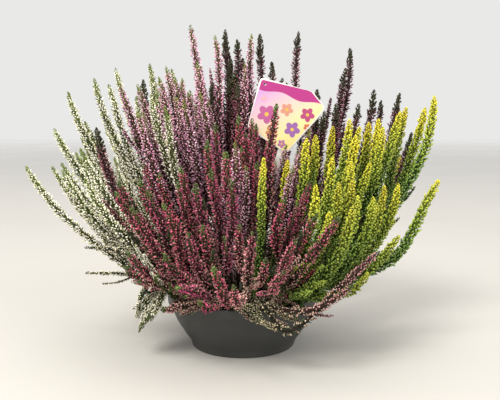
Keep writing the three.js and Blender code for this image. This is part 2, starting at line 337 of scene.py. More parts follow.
# Each growth is a little lighter or darker than the next, and so is each spike.
second_chance = sums(tree, "FRACT", sums(tree, "MULTIPLY", given["Chance"], 7.3))
uneven = sums(tree, "MULTIPLY", given["Vary"], spread(tree, second_chance, 0, 1, -1, 0.9))
light = sums(tree, "MULTIPLY", sums(tree, "ADD", 1.0, uneven),
             spread(tree, given["Tone"], 0, 1, 0.84, 1.14))
hue = spread(tree, given["Tone"], 0, 1, 0.49, 0.51)
plug(result, Colour=add(tree, "HueSaturation", Color=highlighted, Value=light, Hue=hue)["Color"])

grain, given, result = new_group("grain", {"Scale": "Float", "Depth": "Float"},
                                 {"Value": "Float", "Normal": "Vector"})
noise = add(grain, "TexNoise", Vector=add(grain, "TexCoord")["Object"], Scale=given["Scale"],
            Detail=4.0)["Fac"]
bump = add(grain, "Bump", Height=noise, Distance=0.001, Strength=given["Depth"])["Normal"]
plug(result, Value=noise, Normal=bump)
print("groups", [group.name for group in bpy.data.node_groups])

# %% [markdown]
# ## Floor
# A plain pale ground, wide enough to meet the pale surround at the horizon. Its colour is painted
# light: a little darker round the bowl, where the lamps reach it, and paler far off, where they
# don't, so that the horizon hardly shows. It isn't part of the object, so it is marked as stage.

# %% Floor
FLOOR_HALF = 6000  # mm

floor_finish, tree, shader = finish_of("floor", Roughness=0.9, Specular_IOR_Level=0.1)
away = add(tree, "VectorMath", {"operation": "LENGTH"}, {0: add(tree, "TexCoord")["Object"]})["Value"]
# Painted light: the floor grows paler with distance, standing in for the lamps' light far off.
pale = ramp(tree, spread(tree, away, 0, FLOOR_HALF * MM),
            {0: "#bab7b0", 0.2: "#bfbcb6", 0.6: "#d9d8d5", 1: "#fafaf9"})
cloudy = use(tree, grain, Scale=3.0, Depth=0.0)["Value"]
plug(shader, Base_Color=mix(tree, spread(tree, cloudy, 0.3, 0.7, 0, 0.12), pale, linear("#a9a69f")))

floor_mesh = bpy.data.meshes.new("floor")
half = FLOOR_HALF * MM
floor_mesh.from_pydata([(-half, -half, 0), (half, -half, 0), (half, half, 0), (-half, half, 0)],
                       [], [(0, 1, 2, 3)])
floor_mesh.materials.append(floor_finish)
floor = placed("floor", floor_mesh)
floor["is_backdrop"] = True
print("floor", 2 * FLOOR_HALF, "mm wide")

# %% [markdown]
# ## Bowl
# The bowl is moulded from thin dark grey plastic, with a collar round its mouth and holes in its
# floor. It is a body of revolution, so one profile turned round the upright axis gives all of it,
# wall thickness included. The drain holes are cut afterwards with a Boolean modifier.

# %% Bowl
BOWL_OUTSIDE = [(64, 0), (67.4, 0.4), (68, 1.2), (70, 8), (77, 18), (82.5, 27), (88, 36), (92, 46),
                (95, 55.4), (96, 56.8), (98.3, 57.2), (98.9, 58.4), (99.4, 64), (99.6, 69)]
BOWL_INSIDE = [(97.5, 69), (96.8, 60), (93.5, 55.6), (90, 46), (86, 36), (80.5, 27), (75, 18),
               (68.5, 8), (66, 3.4), (62, 2.5)]
LIP_FOOT, BOWL_TOP = 69, 70
LIP_MIDDLE, LIP_HALF = 98.55, 1.05  # radius of the lip's middle line, and half its thickness
LIP_POINTS = 6
BOWL_SIDES, BOWL_SHARP = 128, 38


def turned(profile, sides):
    """The rings that a profile (n, 2) of radius and height makes when it turns round the axis."""
    radius, height = np.array(profile, float).T[:, :, None]
    return around_axis(even_angles(sides), radius, height)


# The lip is half an ellipse from the outside over the top to the inside.
lip_angle = np.linspace(0, np.pi, LIP_POINTS + 2)[1:-1]
lip = np.stack([LIP_MIDDLE + LIP_HALF * np.cos(lip_angle),
                LIP_FOOT + (BOWL_TOP - LIP_FOOT) * np.sin(lip_angle)], 1)
bowl_rings = turned([*BOWL_OUTSIDE, *lip.tolist(), *BOWL_INSIDE], BOWL_SIDES)

bowl_finish, tree, shader = finish_of("grey plastic", Specular_IOR_Level=0.45)
moulded = use(tree, grain, Scale=900.0, Depth=0.12)["Normal"]
smears = use(tree, grain, Scale=14.0, Depth=0.0)["Value"]
grey = ramp(tree, smears, {0.25: "#2f3030", 0.6: "#363735", 0.85: "#41413d"})
height = add(tree, "SeparateXYZ", Vector=add(tree, "TexCoord")["Object"])["Z"]
dust = sums(tree, "MULTIPLY", spread(tree, height, 0.012, 0.0, 0, 0.35), smears)
plug(shader, Base_Color=mix(tree, dust, grey, linear("#77736a")), Normal=moulded,
     Roughness=spread(tree, smears, 0.3, 0.8, 0.4, 0.6))

bowl = piece("planting_bowl", closed_tube(bowl_rings), bowl_finish, ["bowl"], BOWL_SHARP)

# %% Drain holes
DRAIN_COUNT, DRAIN_RADIUS, DRAIN_CIRCLE = 8, 2.5, 48
POST_HEIGHTS, POST_SIDES = (-2, 5), 16  # of the posts that cut the holes

hole_parts = []
for angle in (np.arange(DRAIN_COUNT) + 0.5) * 2 * np.pi / DRAIN_COUNT:
    post = turned([(DRAIN_RADIUS, height) for height in POST_HEIGHTS], POST_SIDES)
    hole_parts.append((*closed_tube(post + around_axis(angle, DRAIN_CIRCLE)), {}))
hole_points, hole_faces, _ = merge(hole_parts)
cutter_mesh = bpy.data.meshes.new("drain posts")
cutter_mesh.from_pydata(hole_points * MM, [], outwards(hole_points, hole_faces).tolist())
cutter = placed("drain posts", cutter_mesh)
cut = bowl.modifiers.new("drain holes", "BOOLEAN")
cut.operation, cut.object, cut.solver = "DIFFERENCE", cutter, "EXACT"
with bpy.context.temp_override(object=bowl, active_object=bowl, selected_objects=[bowl]):
    bpy.ops.object.modifier_apply(modifier=cut.name)
bpy.data.objects.remove(cutter)
print("bowl has", len(bowl.data.polygons), "faces with its", DRAIN_COUNT, "drain holes")

# %% [markdown]
# ## Soil
# Loose peat fills the bowl to a finger's width under the rim. Its top is a round grid with lumps
# from a few crossed sine waves, and small crumbs lie on it. Crumbs of mesh, and not only bump in
# the finish, keep the ground uneven where light falls in between the stems.

# %% Soil
SOIL_LEVEL, SOIL_EDGE = 62, 96.4
SOIL_SIDE = [(60, 2.8), (65.7, 2.9), (74.7, 18.3), (85.7, 36.3), (93.2, 56.3), (96, 60)]
SOIL_MIDDLE = 1.5  # radius of the innermost circle
SOIL_CIRCLES, SOIL_SIDES = 30, 96
LUMP_HEIGHT, LUMP_FADE = 1.1, 12  # the second is the level border's width


def soil_height(x, y):
    """Lumps: three crossed sine waves, faded out towards the level edge."""
    fade = np.clip((SOIL_EDGE - np.hypot(x, y)) / LUMP_FADE, 0, 1)
    lumps = np.sin(x / 9 + 1) * np.cos(y / 11) + 0.6 * np.sin(x / 4.1 - y / 5.3) \
        + 0.4 * np.cos(x / 2.3 + 2) * np.sin(y / 2.7)
    return SOIL_LEVEL + LUMP_HEIGHT * fade * lumps


circles = [(radius, SOIL_LEVEL) for radius in np.linspace(SOIL_EDGE, SOIL_MIDDLE, SOIL_CIRCLES)]
soil_rings = turned([*SOIL_SIDE, *circles], SOIL_SIDES)
top = soil_rings[len(SOIL_SIDE):]
top[..., 2] = soil_height(top[..., 0], top[..., 1])

soil_finish, tree, shader = finish_of("peat", Roughness=0.95, Specular_IOR_Level=0.15)
clods = use(tree, grain, Scale=160.0, Depth=0.9)
fibres = use(tree, grain, Scale=620.0, Depth=0.0)["Value"]
earth = ramp(tree, clods["Value"], {0.3: "#1c130d", 0.55: "#37271b", 0.8: "#5a4230"})
plug(shader, Base_Color=mix(tree, spread(tree, fibres, 0.62, 0.72, 0, 0.5), earth, linear("#7d6246")),
     Normal=clods["Normal"])

piece("potting_soil", closed_tube(soil_rings), soil_finish, ["soil"])

# %% Crumbs
CRUMB_COUNT = 1100
CRUMB_SIZE = (0.9, 3.2)  # radius in mm
CRUMB_UNEVEN = (0.6, 1.0)  # part of that radius, for each corner
CRUMB_SPREAD, CRUMB_LIFT = 0.97, 0.3  # part of the soil's radius, and mm over its top

# A crumb is a rough ball of 8 faces: an octahedron, each of whose corners is moved in or out.
knob_points = np.array([(1, 0, 0), (0, 1, 0), (-1, 0, 0), (0, -1, 0), (0, 0, 1), (0, 0, -1)], float)
knob_faces = np.vstack([fan(np.arange(4), 4), fan(np.arange(4), 5, over=True)])
reach = SOIL_EDGE * CRUMB_SPREAD * np.sqrt(rng.random(CRUMB_COUNT))
bearing = rng.random(CRUMB_COUNT) * 2 * np.pi
size = rng.uniform(*CRUMB_SIZE, (CRUMB_COUNT, 1, 1)) * rng.uniform(*CRUMB_UNEVEN, (CRUMB_COUNT, 6, 1))
crumbs = around_axis(bearing, reach)
crumbs[:, 2] = soil_height(crumbs[:, 0], crumbs[:, 1]) + CRUMB_LIFT
crumbs = crumbs[:, None] + knob_points * size
piece("soil_crumbs", (crumbs.reshape(-1, 3), copied(knob_faces, 6, CRUMB_COUNT)), soil_finish,
      ["soil"])

# %% [markdown]
# ## Label
# A printed plastic card on a flat stake tells the plant's care in the shop. The card is a flat
# ring: its rows run from the rim of the small hole in its corner out to its rounded outline, over
# the edge and back behind. So the hole and the closed edge come with the grid. The picture is a
# made-up one of small blossoms, drawn by sums on the card's own x and y, which each point keeps.

# %% Label card's outline and place
CARD_CORNERS = np.array([(-45, 40), (26, 41), (47, 26), (46, 17), (16, -47), (-44, -28)], float)
CARD_ROUND, CORNER_POINTS = 0.09, 7  # the part of each edge that a rounded corner takes
CARD_PLACE, CARD_LEAN = np.array([55.0, 25.0, 298.0]), math.radians(16)


def card_to_room(flat):
    """Points (..., 3) in the card's own frame (right, up, towards the viewer), leaned over and put
    in place."""
    right, up, near = flat[..., 0], flat[..., 1], flat[..., 2]
    across = right * math.cos(CARD_LEAN) + up * math.sin(CARD_LEAN)
    height = -right * math.sin(CARD_LEAN) + up * math.cos(CARD_LEAN)
    return CARD_PLACE + np.stack([across, -near, height], -1)


def rounded(corners, part, steps):
    """An outline whose corners are parabolas: (1 - t)^2 a + 2 t (1 - t) corner + t^2 b, with a and
    b a part of the way along the two edges."""
    before = corners + (np.roll(corners, 1, 0) - corners) * part
    after = corners + (np.roll(corners, -1, 0) - corners) * part
    a, corner, b = before[:, None], corners[:, None], after[:, None]
    t = np.linspace(0, 1, steps)[:, None]
    return ((1 - t) ** 2 * a + 2 * t * (1 - t) * corner + t ** 2 * b).reshape(-1, 2)


# %% Label card
CARD_THICKNESS, CARD_BEVEL, CARD_SHARP = 0.8, 0.15, 50
CARD_HOLE, CARD_HOLE_RADIUS = np.array([-37.0, 33.0]), 2.0
CARD_BORDER, PRINT_EDGE = 2.4, 0.1  # the white margin, and the width over which it starts

ray = rounded(CARD_CORNERS, CARD_ROUND, CORNER_POINTS) - CARD_HOLE
distance = np.linalg.norm(ray, axis=1, keepdims=True)
ray = ray / distance
# How far each row is from the hole's middle, whether it is bare of print, and its side of the card.
rim, half, bevelled = CARD_HOLE_RADIUS + 0 * distance, CARD_THICKNESS / 2, distance - CARD_BEVEL
rows = [(rim, 0, half), (0.5 * distance, 0, half), (distance - CARD_BORDER, 0, half),
        (distance - CARD_BORDER + PRINT_EDGE, 1, half), (bevelled, 1, half),
        (distance, 1, half - CARD_BEVEL), (distance, 1, CARD_BEVEL - half),
        (bevelled, 1, -half), (0.5 * distance, 1, -half), (rim, 1, -half)]
card = np.stack([np.c_[CARD_HOLE + ray * away, np.full(len(ray), side)] for away, _, side in rows])
row_count, around = card.shape[:2]
# The last row joins the first again, inside the hole.
card_faces = ring_faces(row_count + 1, around) % (row_count * around)
card_values = {
    "card_x": card[..., 0].ravel(), "card_y": card[..., 1].ravel(),
    "plain": np.repeat([float(bare) for _, bare, _ in rows], around),
}
print("card", np.ptp(card.reshape(-1, 3), axis=0), "mm")

# %% A printed blossom
blossom, given, result = new_group(
    "blossom",
    {"X": "Float", "Y": "Float", "Middle X": "Float", "Middle Y": "Float", "Radius": "Float"},
    {"Petals": "Float", "Heart": "Float"},
)
# Five petals: inside where distance / radius < 0.62 + 0.38 |cos(2.5 angle)|.
tree = blossom
over = sums(tree, "SUBTRACT", given["X"], given["Middle X"])
above = sums(tree, "SUBTRACT", given["Y"], given["Middle Y"])
squares = [sums(tree, "MULTIPLY", side, side) for side in (over, above)]
away = sums(tree, "DIVIDE", sums(tree, "SQRT", sums(tree, "ADD", *squares)), given["Radius"])
turn = sums(tree, "MULTIPLY", sums(tree, "ARCTAN2", above, over), 2.5)
lobe = sums(tree, "ABSOLUTE", sums(tree, "COSINE", turn))
edge = sums(tree, "ADD", sums(tree, "MULTIPLY", lobe, 0.38), 0.62)
plug(result, Petals=spread(tree, sums(tree, "SUBTRACT", edge, away), 0.0, 0.06),
     Heart=spread(tree, away, 0.24, 0.18))
print("a printed blossom takes", len(blossom.nodes), "nodes")

# %% Label print
BLOSSOMS = [(-24, -4, 13, "#b0568c"), (0, 9, 9, "#c98a72"), (14, -14, 11, "#8f5b9c"),
            (-33, 15, 6, "#cf9dbb"), (28, 10, 10, "#a9406f"), (-12, -24, 8, "#b98a4e"),
            (6, -36, 6, "#a56a93"), (32, -6, 5, "#c25c4a")]  # x, y, radius in mm and colour
WAVE_LENGTH, WAVE_HEIGHT = 8.0, 2.2  # of the ribbon along the top

label_finish, tree, shader = finish_of("printed card", Roughness=0.3, Specular_IOR_Level=0.5,
                                       Coat_Weight=0.3)
card_x, card_y = kept(tree, "card_x"), kept(tree, "card_y")
slant = spread(tree, sums(tree, "SUBTRACT", card_x, card_y), -60, 70)
picture = ramp(tree, slant, {0: "#c496c6", 0.35: "#dcc0b4", 0.65: "#e0d496", 1: "#e2cd78"})
for x, y, radius, code in BLOSSOMS:
    flower = use(tree, blossom, X=card_x, Y=card_y, Middle_X=x, Middle_Y=y, Radius=radius)
    picture = mix(tree, flower["Petals"], picture, linear(code))
    picture = mix(tree, flower["Heart"], picture, linear("#d8b040"))
# A magenta ribbon waves along the top edge.
wave = sums(tree, "SINE", sums(tree, "DIVIDE", card_x, WAVE_LENGTH))
ribbon = sums(tree, "ADD", card_y, sums(tree, "MULTIPLY", wave, WAVE_HEIGHT))
picture = mix(tree, spread(tree, ribbon, 26.0, 26.6), picture, linear("#a92a78"))
fine = use(tree, grain, Scale=700.0, Depth=0.03)
white = ramp(tree, fine["Value"], {0.3: "#d9d7d0", 0.7: "#e1dfd9"})
plug(shader, Base_Color=mix(tree, kept(tree, "plain"), picture, white), Normal=fine["Normal"])
piece("label_card", (card_to_room(card).reshape(-1, 3), card_faces, card_values), label_finish,
      ["label"], CARD_SHARP)

# %% Label stake
STAKE_MIDDLE, STAKE_SHARP = 9, 40
# Heights in the card's frame with half the stake's width there: round on top, pointed below.
STAKE_ROWS = [(-34, 4.0), (-35.5, 5.5), (-246, 5.5), (-258, 1.6), (-262, 0.3)]
# Its cross-section, in half widths and mm: flat in front, with a rib down the middle behind.
STAKE_SECTION = np.array([(-1, 0), (1, 0), (1, -0.7), (0.2, -0.9), (0.12, -1.5), (-0.12, -1.5),
                          (-0.2, -0.9), (-1, -0.7)])
STAKE_FRONT = 0.1 - half  # a little in front of the card's back

across, near = STAKE_SECTION.T
stake = np.stack([np.stack([STAKE_MIDDLE + across * width, np.full(len(across), up),
                            near + STAKE_FRONT], 1) for up, width in STAKE_ROWS])
stake_points, stake_faces = closed_tube(stake)
stake_finish, tree, shader = finish_of("white plastic", Roughness=0.4, Specular_IOR_Level=0.5)
fine = use(tree, grain, Scale=300.0, Depth=0.05)
plug(shader, Base_Color=ramp(tree, fine["Value"], {0.3: "#cfccc3", 0.7: "#dbd9d2"}),
     Normal=fine["Normal"])
piece("label_stake", (card_to_room(stake_points), stake_faces), stake_finish, ["label"],
      STAKE_SHARP)

# %% [markdown]
# ## Where the heathers grow
# A young heather sends up a leader from its root, and side shoots fork from it and turn to run
# alongside. Each spray is written as the tips of its spikes, the leader first, in millimetres from
# the middle of the bowl's foot. `root` is where it comes out of the soil, if its lean doesn't give
# that, `over` lists points that a drooping spray arches over, `more` the tips of its finer side
# shoots, `faded` makes it look that many millimetres older, `fresh` lists the spikes that look much
# younger, counted from the leader as 0, and `size` makes it thinner. The lines between are formulas,
# which follow a given tip more smoothly than hand-drawn curves would.

# %% How a spray is written
def spray_of(*tips, root=None, over=(), more=(), faded=0, fresh=(), size=1):
    """One spray: the tips of its spikes, and what else the cell above says of it."""
    return SimpleNamespace(tips=tips, root=root, over=over, more=more, faded=faded, fresh=fresh,
                           size=size)


SPRAYS = {}  # lists of sprays by the names of their plants

# %% White sprays
SPRAYS["white"] = [
    spray_of((-260, -70, 240), (-245, -15, 235), (-172, -40, 140), size=0.85),
    spray_of((-230, -45, 285), (-208, -34, 255), (-150, -36, 178)),
    spray_of((-225, 5, 330), (-208, 22, 292), (-150, 18, 165)),
    spray_of((-205, 70, 350), (-180, 35, 340), (-180, 95, 365), (-150, 75, 190)),
    spray_of((-130, 80, 370), (-140, 22, 325), (-105, 120, 365), root=(-44, 28),
             more=[(-126, 66, 352), (-117, 58, 330), (-98, -34, 312), (-114, -24, 326)]),
    spray_of((-192, -72, 262), (-210, -90, 238), (-182, -98, 228), root=(-66, -20)),
    spray_of((-190, -78, 110), (-184, -106, 148), root=(-80, -26), over=[(-116, -46, 98)],
             faded=150, size=0.6),
    spray_of((-130, -70, 35), (-108, -104, 58), root=(-77, -38), over=[(-104, -56, 90)], faded=45,
             more=[(-123, -80, 42), (-131, -62, 50), (-116, -86, 52), (-124, -56, 66)]),
    spray_of((-235, 110, 270), (-250, 60, 235), (-205, 140, 285), (-175, 95, 160)),
    spray_of((-165, 185, 210), (-195, 150, 235), (-150, 190, 250), (-140, 140, 150)),
]
print(len(SPRAYS["white"]), "white sprays")

# %% Pink sprays
SPRAYS["pink"] = [
    spray_of((-70, 60, 420), (-62, 38, 370), (-40, 92, 410), (-85, 75, 350),
             more=[(-60, 75, 366), (-55, 70, 340), (-47, 45, 319)]),
    spray_of((10, 80, 410), (2, 60, 370), root=(9, 32)),
    spray_of((-135, 10, 340), (-112, 32, 350), (-155, -15, 340), (-132, -38, 305),
             more=[(-118, 10, 319), (-110, 30, 330), (-125, -10, 304)]),
    spray_of((-105, 60, 365), (-90, 40, 350), (-75, 2, 320), (-55, 15, 330),
             more=[(-84, 50, 340), (-92, 36, 326), (-76, 66, 331), (-63, 36, 313)]),
    spray_of((-10, -60, 270), (-22, -30, 255), more=[(3, -56, 240), (-1, -40, 218)]),
    spray_of((75, -15, 265), (62, -40, 240),
             more=[(74, 10, 256), (86, 20, 283), (57, 14, 262), (41, -4, 243)]),
    spray_of((-80, 155, 335), (-112, 160, 305), (-75, 195, 270), (-70, 160, 185)),
]
print(len(SPRAYS["pink"]), "pink sprays")

# %% Purple sprays
SPRAYS["purple"] = [
    spray_of((-25, 122, 420), (-10, 105, 405), (-45, 115, 345),
             more=[(-18, 108, 379), (-21, 98, 351), (-32, 105, 331), (-14, 100, 362), (-10, 84, 342)]),
    spray_of((25, 130, 415), (40, 118, 375), root=(8, 46),
             more=[(-1, 118, 380), (6, 120, 360), (-5, 100, 337), (18, 110, 331), (35, 112, 326),
                   (-4, 56, 336), (8, 58, 316)]),
    spray_of((80, 150, 420), (60, 112, 345), more=[(44, 130, 349), (56, 120, 352), (67, 125, 320)]),
    spray_of((130, 75, 315), (105, 95, 335), (112, 65, 305), (160, 82, 315),
             more=[(92, 100, 323), (102, 85, 303)]),
    spray_of((155, 130, 395), (145, 112, 365)),
    spray_of((185, 105, 335), (200, 122, 320)),
    spray_of((220, 95, 330), (236, 82, 275)),
    spray_of((-185, -18, 285), root=(-52, -4)),
    spray_of((-145, 120, 350), (-118, 145, 340)),
    spray_of((-15, 175, 350), (10, 185, 330), (-45, 165, 345)),
    spray_of((30, 205, 285), (0, 215, 265), (60, 190, 310), (15, 175, 170)),
    spray_of((110, 175, 330), (90, 190, 300), (140, 190, 260), (90, 155, 170)),
]
print(len(SPRAYS["purple"]), "purple sprays")

# %% Red sprays
SPRAYS["red"] = [
    spray_of((40, -35, 315), (18, -25, 290), (20, -50, 245),
             more=[(12, 14, 296), (32, 0, 268), (4, 6, 276)]),
    spray_of((-35, 0, 290), (-42, -45, 270), (-5, -5, 300), more=[(0, -22, 262)]),
    spray_of((-35, -95, 240), (-20, -85, 258), (-52, -112, 225), (-12, -115, 230), (-20, -125, 165)),
    spray_of((-75, -60, 240), (-105, -42, 230), (-75, -98, 225), (-85, -95, 165)),
    spray_of((-125, -25, 240), (-125, -55, 225), (-152, -50, 222)),
    spray_of((-150, -88, 212), (-112, -95, 215), root=(-60, -42)),
    spray_of((-125, -135, 200), (-88, -135, 205), (-130, -132, 150), (-140, -100, 125)),
    spray_of((-60, -158, 175), (-45, -140, 182), (-85, -150, 150)),
    spray_of((10, -150, 175), (-8, -188, 125), (28, -150, 145), more=[(-4, -130, 180)], faded=25),
    spray_of((-30, -195, 145), (-48, -165, 100), faded=-50),
    spray_of((-70, -190, 120), (-120, -128, 112), (-90, -152, 88), over=[(-44, -120, 96)],
             faded=60, fresh=[0], size=0.85),
    spray_of((110, -142, 190), (62, -150, 165), (48, -160, 135), (85, -118, 190), root=(22, -70)),
    spray_of((155, -130, 150), (125, -146, 112), root=(14, -84),
             over=[(22, -108, 86), (60, -132, 58)], faded=45, size=0.8),
    spray_of((85, -42, 220), (50, -88, 205), (68, -62, 195), root=(28, -44)),
    spray_of((-94, -86, 66), (-66, -110, 68), root=(-50, -66), over=[(-68, -86, 82)],
             more=[(-77, -128, 104), (-86, -112, 97), (-68, -128, 93), (-80, -118, 112)], faded=50,
             fresh=[2, 3, 4, 5]),
]
print(len(SPRAYS["red"]), "red sprays")

# %% Yellow sprays
SPRAYS["yellow"] = [
    spray_of((255, 35, 325), (245, 55, 310), (220, 45, 310), (205, 20, 305), (170, 30, 160)),
    spray_of((180, 25, 295), (182, 2, 285), (170, 50, 290), (152, 18, 285), (162, -15, 240),
             root=(52, 14)),
    spray_of((135, -5, 295), (140, -28, 275), (120, 38, 285), root=(52, -4)),
    spray_of((80, -32, 272), (92, -12, 275), root=(35, -20), more=[(56, -20, 244)]),
    spray_of((110, -55, 250), (115, -82, 222), (132, -60, 245), (132, -80, 225)),
    spray_of((122, -132, 200), (132, -110, 210), (146, -106, 120), root=(56, -58)),
    spray_of((25, -68, 250), faded=-10, size=0.8),
    spray_of((84, -106, 222), (100, -118, 192), root=(40, -55)),
    spray_of((155, -85, 205), (175, -52, 215), (195, -35, 215)),
    spray_of((245, -40, 220), (185, -95, 160), (165, -45, 120), root=(66, -12),
             over=[(112, -20, 86), (190, -32, 120)], faded=8),
    spray_of((95, -124, 112), (80, -128, 100), (112, -120, 98), root=(50, -68),
             over=[(66, -91, 92)], more=[(80, -116, 132), (64, -108, 126), (96, -112, 128)], faded=20),
    spray_of((205, 125, 265), (185, 140, 275), (228, 108, 240), (170, 110, 155)),
]
print(len(SPRAYS["yellow"]), "yellow sprays")

# %% [markdown]
# ## What each heather looks like
# The plants share one way of growing and differ only in their measures and colours. Five sets of
# functions could make them, but two tables are shorter and easy to compare. Colours are given at
# lengths from the tip of a spike, because a spike flowers from below: its tip is still leafy, then
# come fresh buds, and the lowest ones have faded.

# %% Their measures
# One value for each of the plants, in the order of their colours below.
MEASURES = dict(
    radius=(6.9, 7.6, 7.1, 7.3, 6.6),  # of a spike, in mm
    blunt=(1.2, 1.0, 1.5, 1.5, 1.8),  # how soon it widens from its tip
    bow=(0.11, 0.05, 0.22, 0.06, 0.25),  # of a leader, as part of its level length
    leafy=((4, 16), (5, 13), (14, 46), (5, 13), (0, 0)),  # mm at a tip that bear tufts alone
    tufts=(2.0, 1.6, 2.1, 1.7, 0),  # on each mm of that
    leaf_width=(2.0, 2.2, 3.0, 2.6, 2.2),  # mm
    open=((40, 70), (48, 80), (46, 76), (44, 74), (32, 60)),  # degrees between a bud and its stem
    core=(0.34, 0.3, 0.3, 0.3, 0.38),  # part of the radius, out to the feet of the buds
    ages=(25, 15, 30, 20, 22),  # a spike looks up to so many mm older
    low=(0, 0, 0, 38, 40),  # and so many more for each 100 mm that its tip is low
    vary=(0.25, 0.35, 0.4, 0.45, 0.22),  # how much lighter or darker one bud is
    buds_per_mm=(2.4, 2.1, 1.7, 2.1, 2.3),
    bud_width=(2.5, 2.5, 2.3, 2.3, 3.0),  # mm
    leaves_per_mm=(0.9, 0.8, 0.8, 0.9, 1.1),
    twigs=(0.009, 0.007, 0.005, 0.009, 0.009),  # on each mm of a spike
    twig_flowers=(0.7, 0.7, 0.7, 0.45, 0.7),  # the part of its twigs that bears buds
)
print(len(MEASURES), "measures of each plant")

# %% Their colours
# Colours at lengths in mm from the tip of a spike, or one colour for all of it.
# The buds' point colour is the painted highlight at the point of each bud, and the colour of the paler
# buds.
COLOURS = {
    "white": dict(
        stalk={0: "#7c8a46", 50: "#555f33", 150: "#343a20", 250: "#262818"},
        buds={0: "#dbdfa8", 25: "#f3f0cc", 90: "#fbf6e2", 170: "#f3ead2", 250: "#cdbf9a"},
        odd={0: "#a5b167", 120: "#cac792", 250: "#a09370"},
        leaves={0: "#879649", 25: "#6a7b39", 60: "#414b27", 150: "#282e18", 250: "#1c2111"},
        bud_foot="#8b9158", bud_point="#fffdf0",
    ),
    "pink": dict(
        stalk={0: "#7f8a48", 40: "#54402c", 160: "#402b24", 250: "#2c2018"},
        buds={0: "#c4917a", 18: "#e0a3b8", 60: "#e49dc0", 140: "#d690ae", 250: "#b68185"},
        odd={0: "#8a6252", 60: "#a65579", 250: "#7c5058"},
        leaves={0: "#94984a", 14: "#747a3a", 40: "#52452a", 150: "#3a2c1e", 250: "#2a2218"},
        bud_foot="#703c40", bud_point="#fdeaea",
    ),
    "purple": dict(
        stalk={0: "#3a3c24", 60: "#3d2b2c", 250: "#2c221c"},
        buds={0: "#6a2a3d", 50: "#803047", 100: "#8a404f", 180: "#7b4c50", 250: "#62433e"},
        odd={0: "#481d2a", 100: "#a26c77", 250: "#7a5c58"},
        leaves={0: "#42472a", 40: "#3d3023", 120: "#422822", 240: "#31201a"},
        bud_foot="#432426", bud_point="#cda4ab",
    ),
    "red": dict(
        stalk={0: "#5f6a35", 40: "#4c262c", 160: "#2c201a", 250: "#1c1b12"},
        buds={0: "#b5345f", 20: "#c53a6c", 85: "#b94868", 130: "#ba7378", 185: "#c99e90",
              250: "#d2c49c"},
        odd={0: "#6a1f3a", 80: "#6f2a40", 140: "#cb9494", 250: "#aaa27c"},
        leaves={0: "#647a3c", 16: "#586a34", 60: "#424a2a", 150: "#2b3420", 250: "#28321f"},
        bud_foot="#4d2f2c",
        bud_point={0: "#de889a", 110: "#e9b0ac", 220: "#ece2be"},
    ),
    "yellow": dict(
        stalk={0: "#aaa62c", 40: "#6f8129", 100: "#33491c", 250: "#1b2a12"},
        buds={0: "#e6d036", 24: "#dcc82f", 48: "#b8b534", 78: "#8c9d39", 120: "#6a8538",
              180: "#587335", 250: "#475f2e"},
        odd={0: "#cebc31", 45: "#9fa434", 100: "#5c752f", 250: "#36502a"},
        leaves={0: "#c8ba34", 45: "#909832", 100: "#475f26", 250: "#23361a"},
        bud_foot={0: "#c4b42e", 45: "#91932b", 90: "#577027", 150: "#324d1f"},
        bud_point={0: "#e6d64e", 60: "#b9c248", 130: "#8fa54b", 250: "#7b9246"},
    ),
}
PLANTS = {name: SimpleNamespace(**colours, **{key: row[index] for key, row in MEASURES.items()})
          for index, (name, colours) in enumerate(COLOURS.items())}
COLOUR_SPAN = 250  # the length from the tip over which the colours are given, in mm
print(len(PLANTS), "plants")

# %% [markdown]
# ## Lines of the spikes
# Every spike, twig and shoot is first a line of points, and gets its buds and leaves afterwards. A
# free spike bows outwards like a loaded rod, which a Bézier line of three points gives. A spray that
# arches over the rim needs a line through points of its own, and a Catmull-Rom line does that.

# %% Two kinds of line
def bezier(start, middle, end, t):
    """(1 - t)^2 start + 2 t (1 - t) middle + t^2 end."""
    t = np.asarray(t, float)[:, None]
    return (1 - t) ** 2 * start + 2 * t * (1 - t) * middle + t ** 2 * end


def smooth_line(points, t):
    """A Catmull-Rom line: between two points, a cubic whose slopes there are half the step from
    the point before to the point after."""
    points = np.vstack([2 * points[0] - points[1], points, 2 * points[-1] - points[-2]])
    place = np.clip(np.asarray(t, float), 0, 1) * (len(points) - 3)
    index = np.minimum(place.astype(int), len(points) - 4)
    w = (place - index)[:, None]
    a, b, c, d = (points[index + i] for i in range(4))
    return 0.5 * (2 * b + (c - a) * w + (2 * a - 5 * b + 4 * c - d) * w ** 2
                  + (3 * b - a - 3 * c + d) * w ** 3)


# %% Leaders and side shoots
STEM_RISE = 5  # a stem stands straight up to this height over the soil
ROOT_SPREAD = 86  # how far from the middle the flattest sprays are rooted
ROOT_POWER = 0.75  # under 1, so that half-steep sprays are rooted well out too
FORK = 0.35  # a side shoot leaves the leader at this part of its own height
SHOOT_STRAIGHT = 0.6  # part of a side shoot over which it turns to run with the leader
SMALL_STEP = 0.002  # part of the leader over which its direction is taken


def leader_course(spray, plant):
    """The leader's line over the soil as a function of t. It bows outwards by `bow` of its level
    length, or runs smoothly through the points that it arches over."""
    tip = np.array(spray.tips[0], float)
    if spray.root:
        root = np.array(spray.root, float)
    else:
        reach = math.hypot(tip[0], tip[1])
        lean = math.atan2(reach, tip[2] - SOIL_LEVEL)
        root = tip[:2] / reach * ROOT_SPREAD * math.sin(lean) ** ROOT_POWER
    start = np.array([*root, SOIL_LEVEL + STEM_RISE])
    if spray.over:
        points = np.array([start, *spray.over, tip], float)
        return lambda t: smooth_line(points, t)
    chord = tip - start
    bowed = unit(np.cross([-chord[1], chord[0], 0], chord))
    middle = (start + tip) / 2 + bowed * 2 * plant.bow * math.hypot(chord[0], chord[1])
    return lambda t: bezier(start, middle, tip, t)


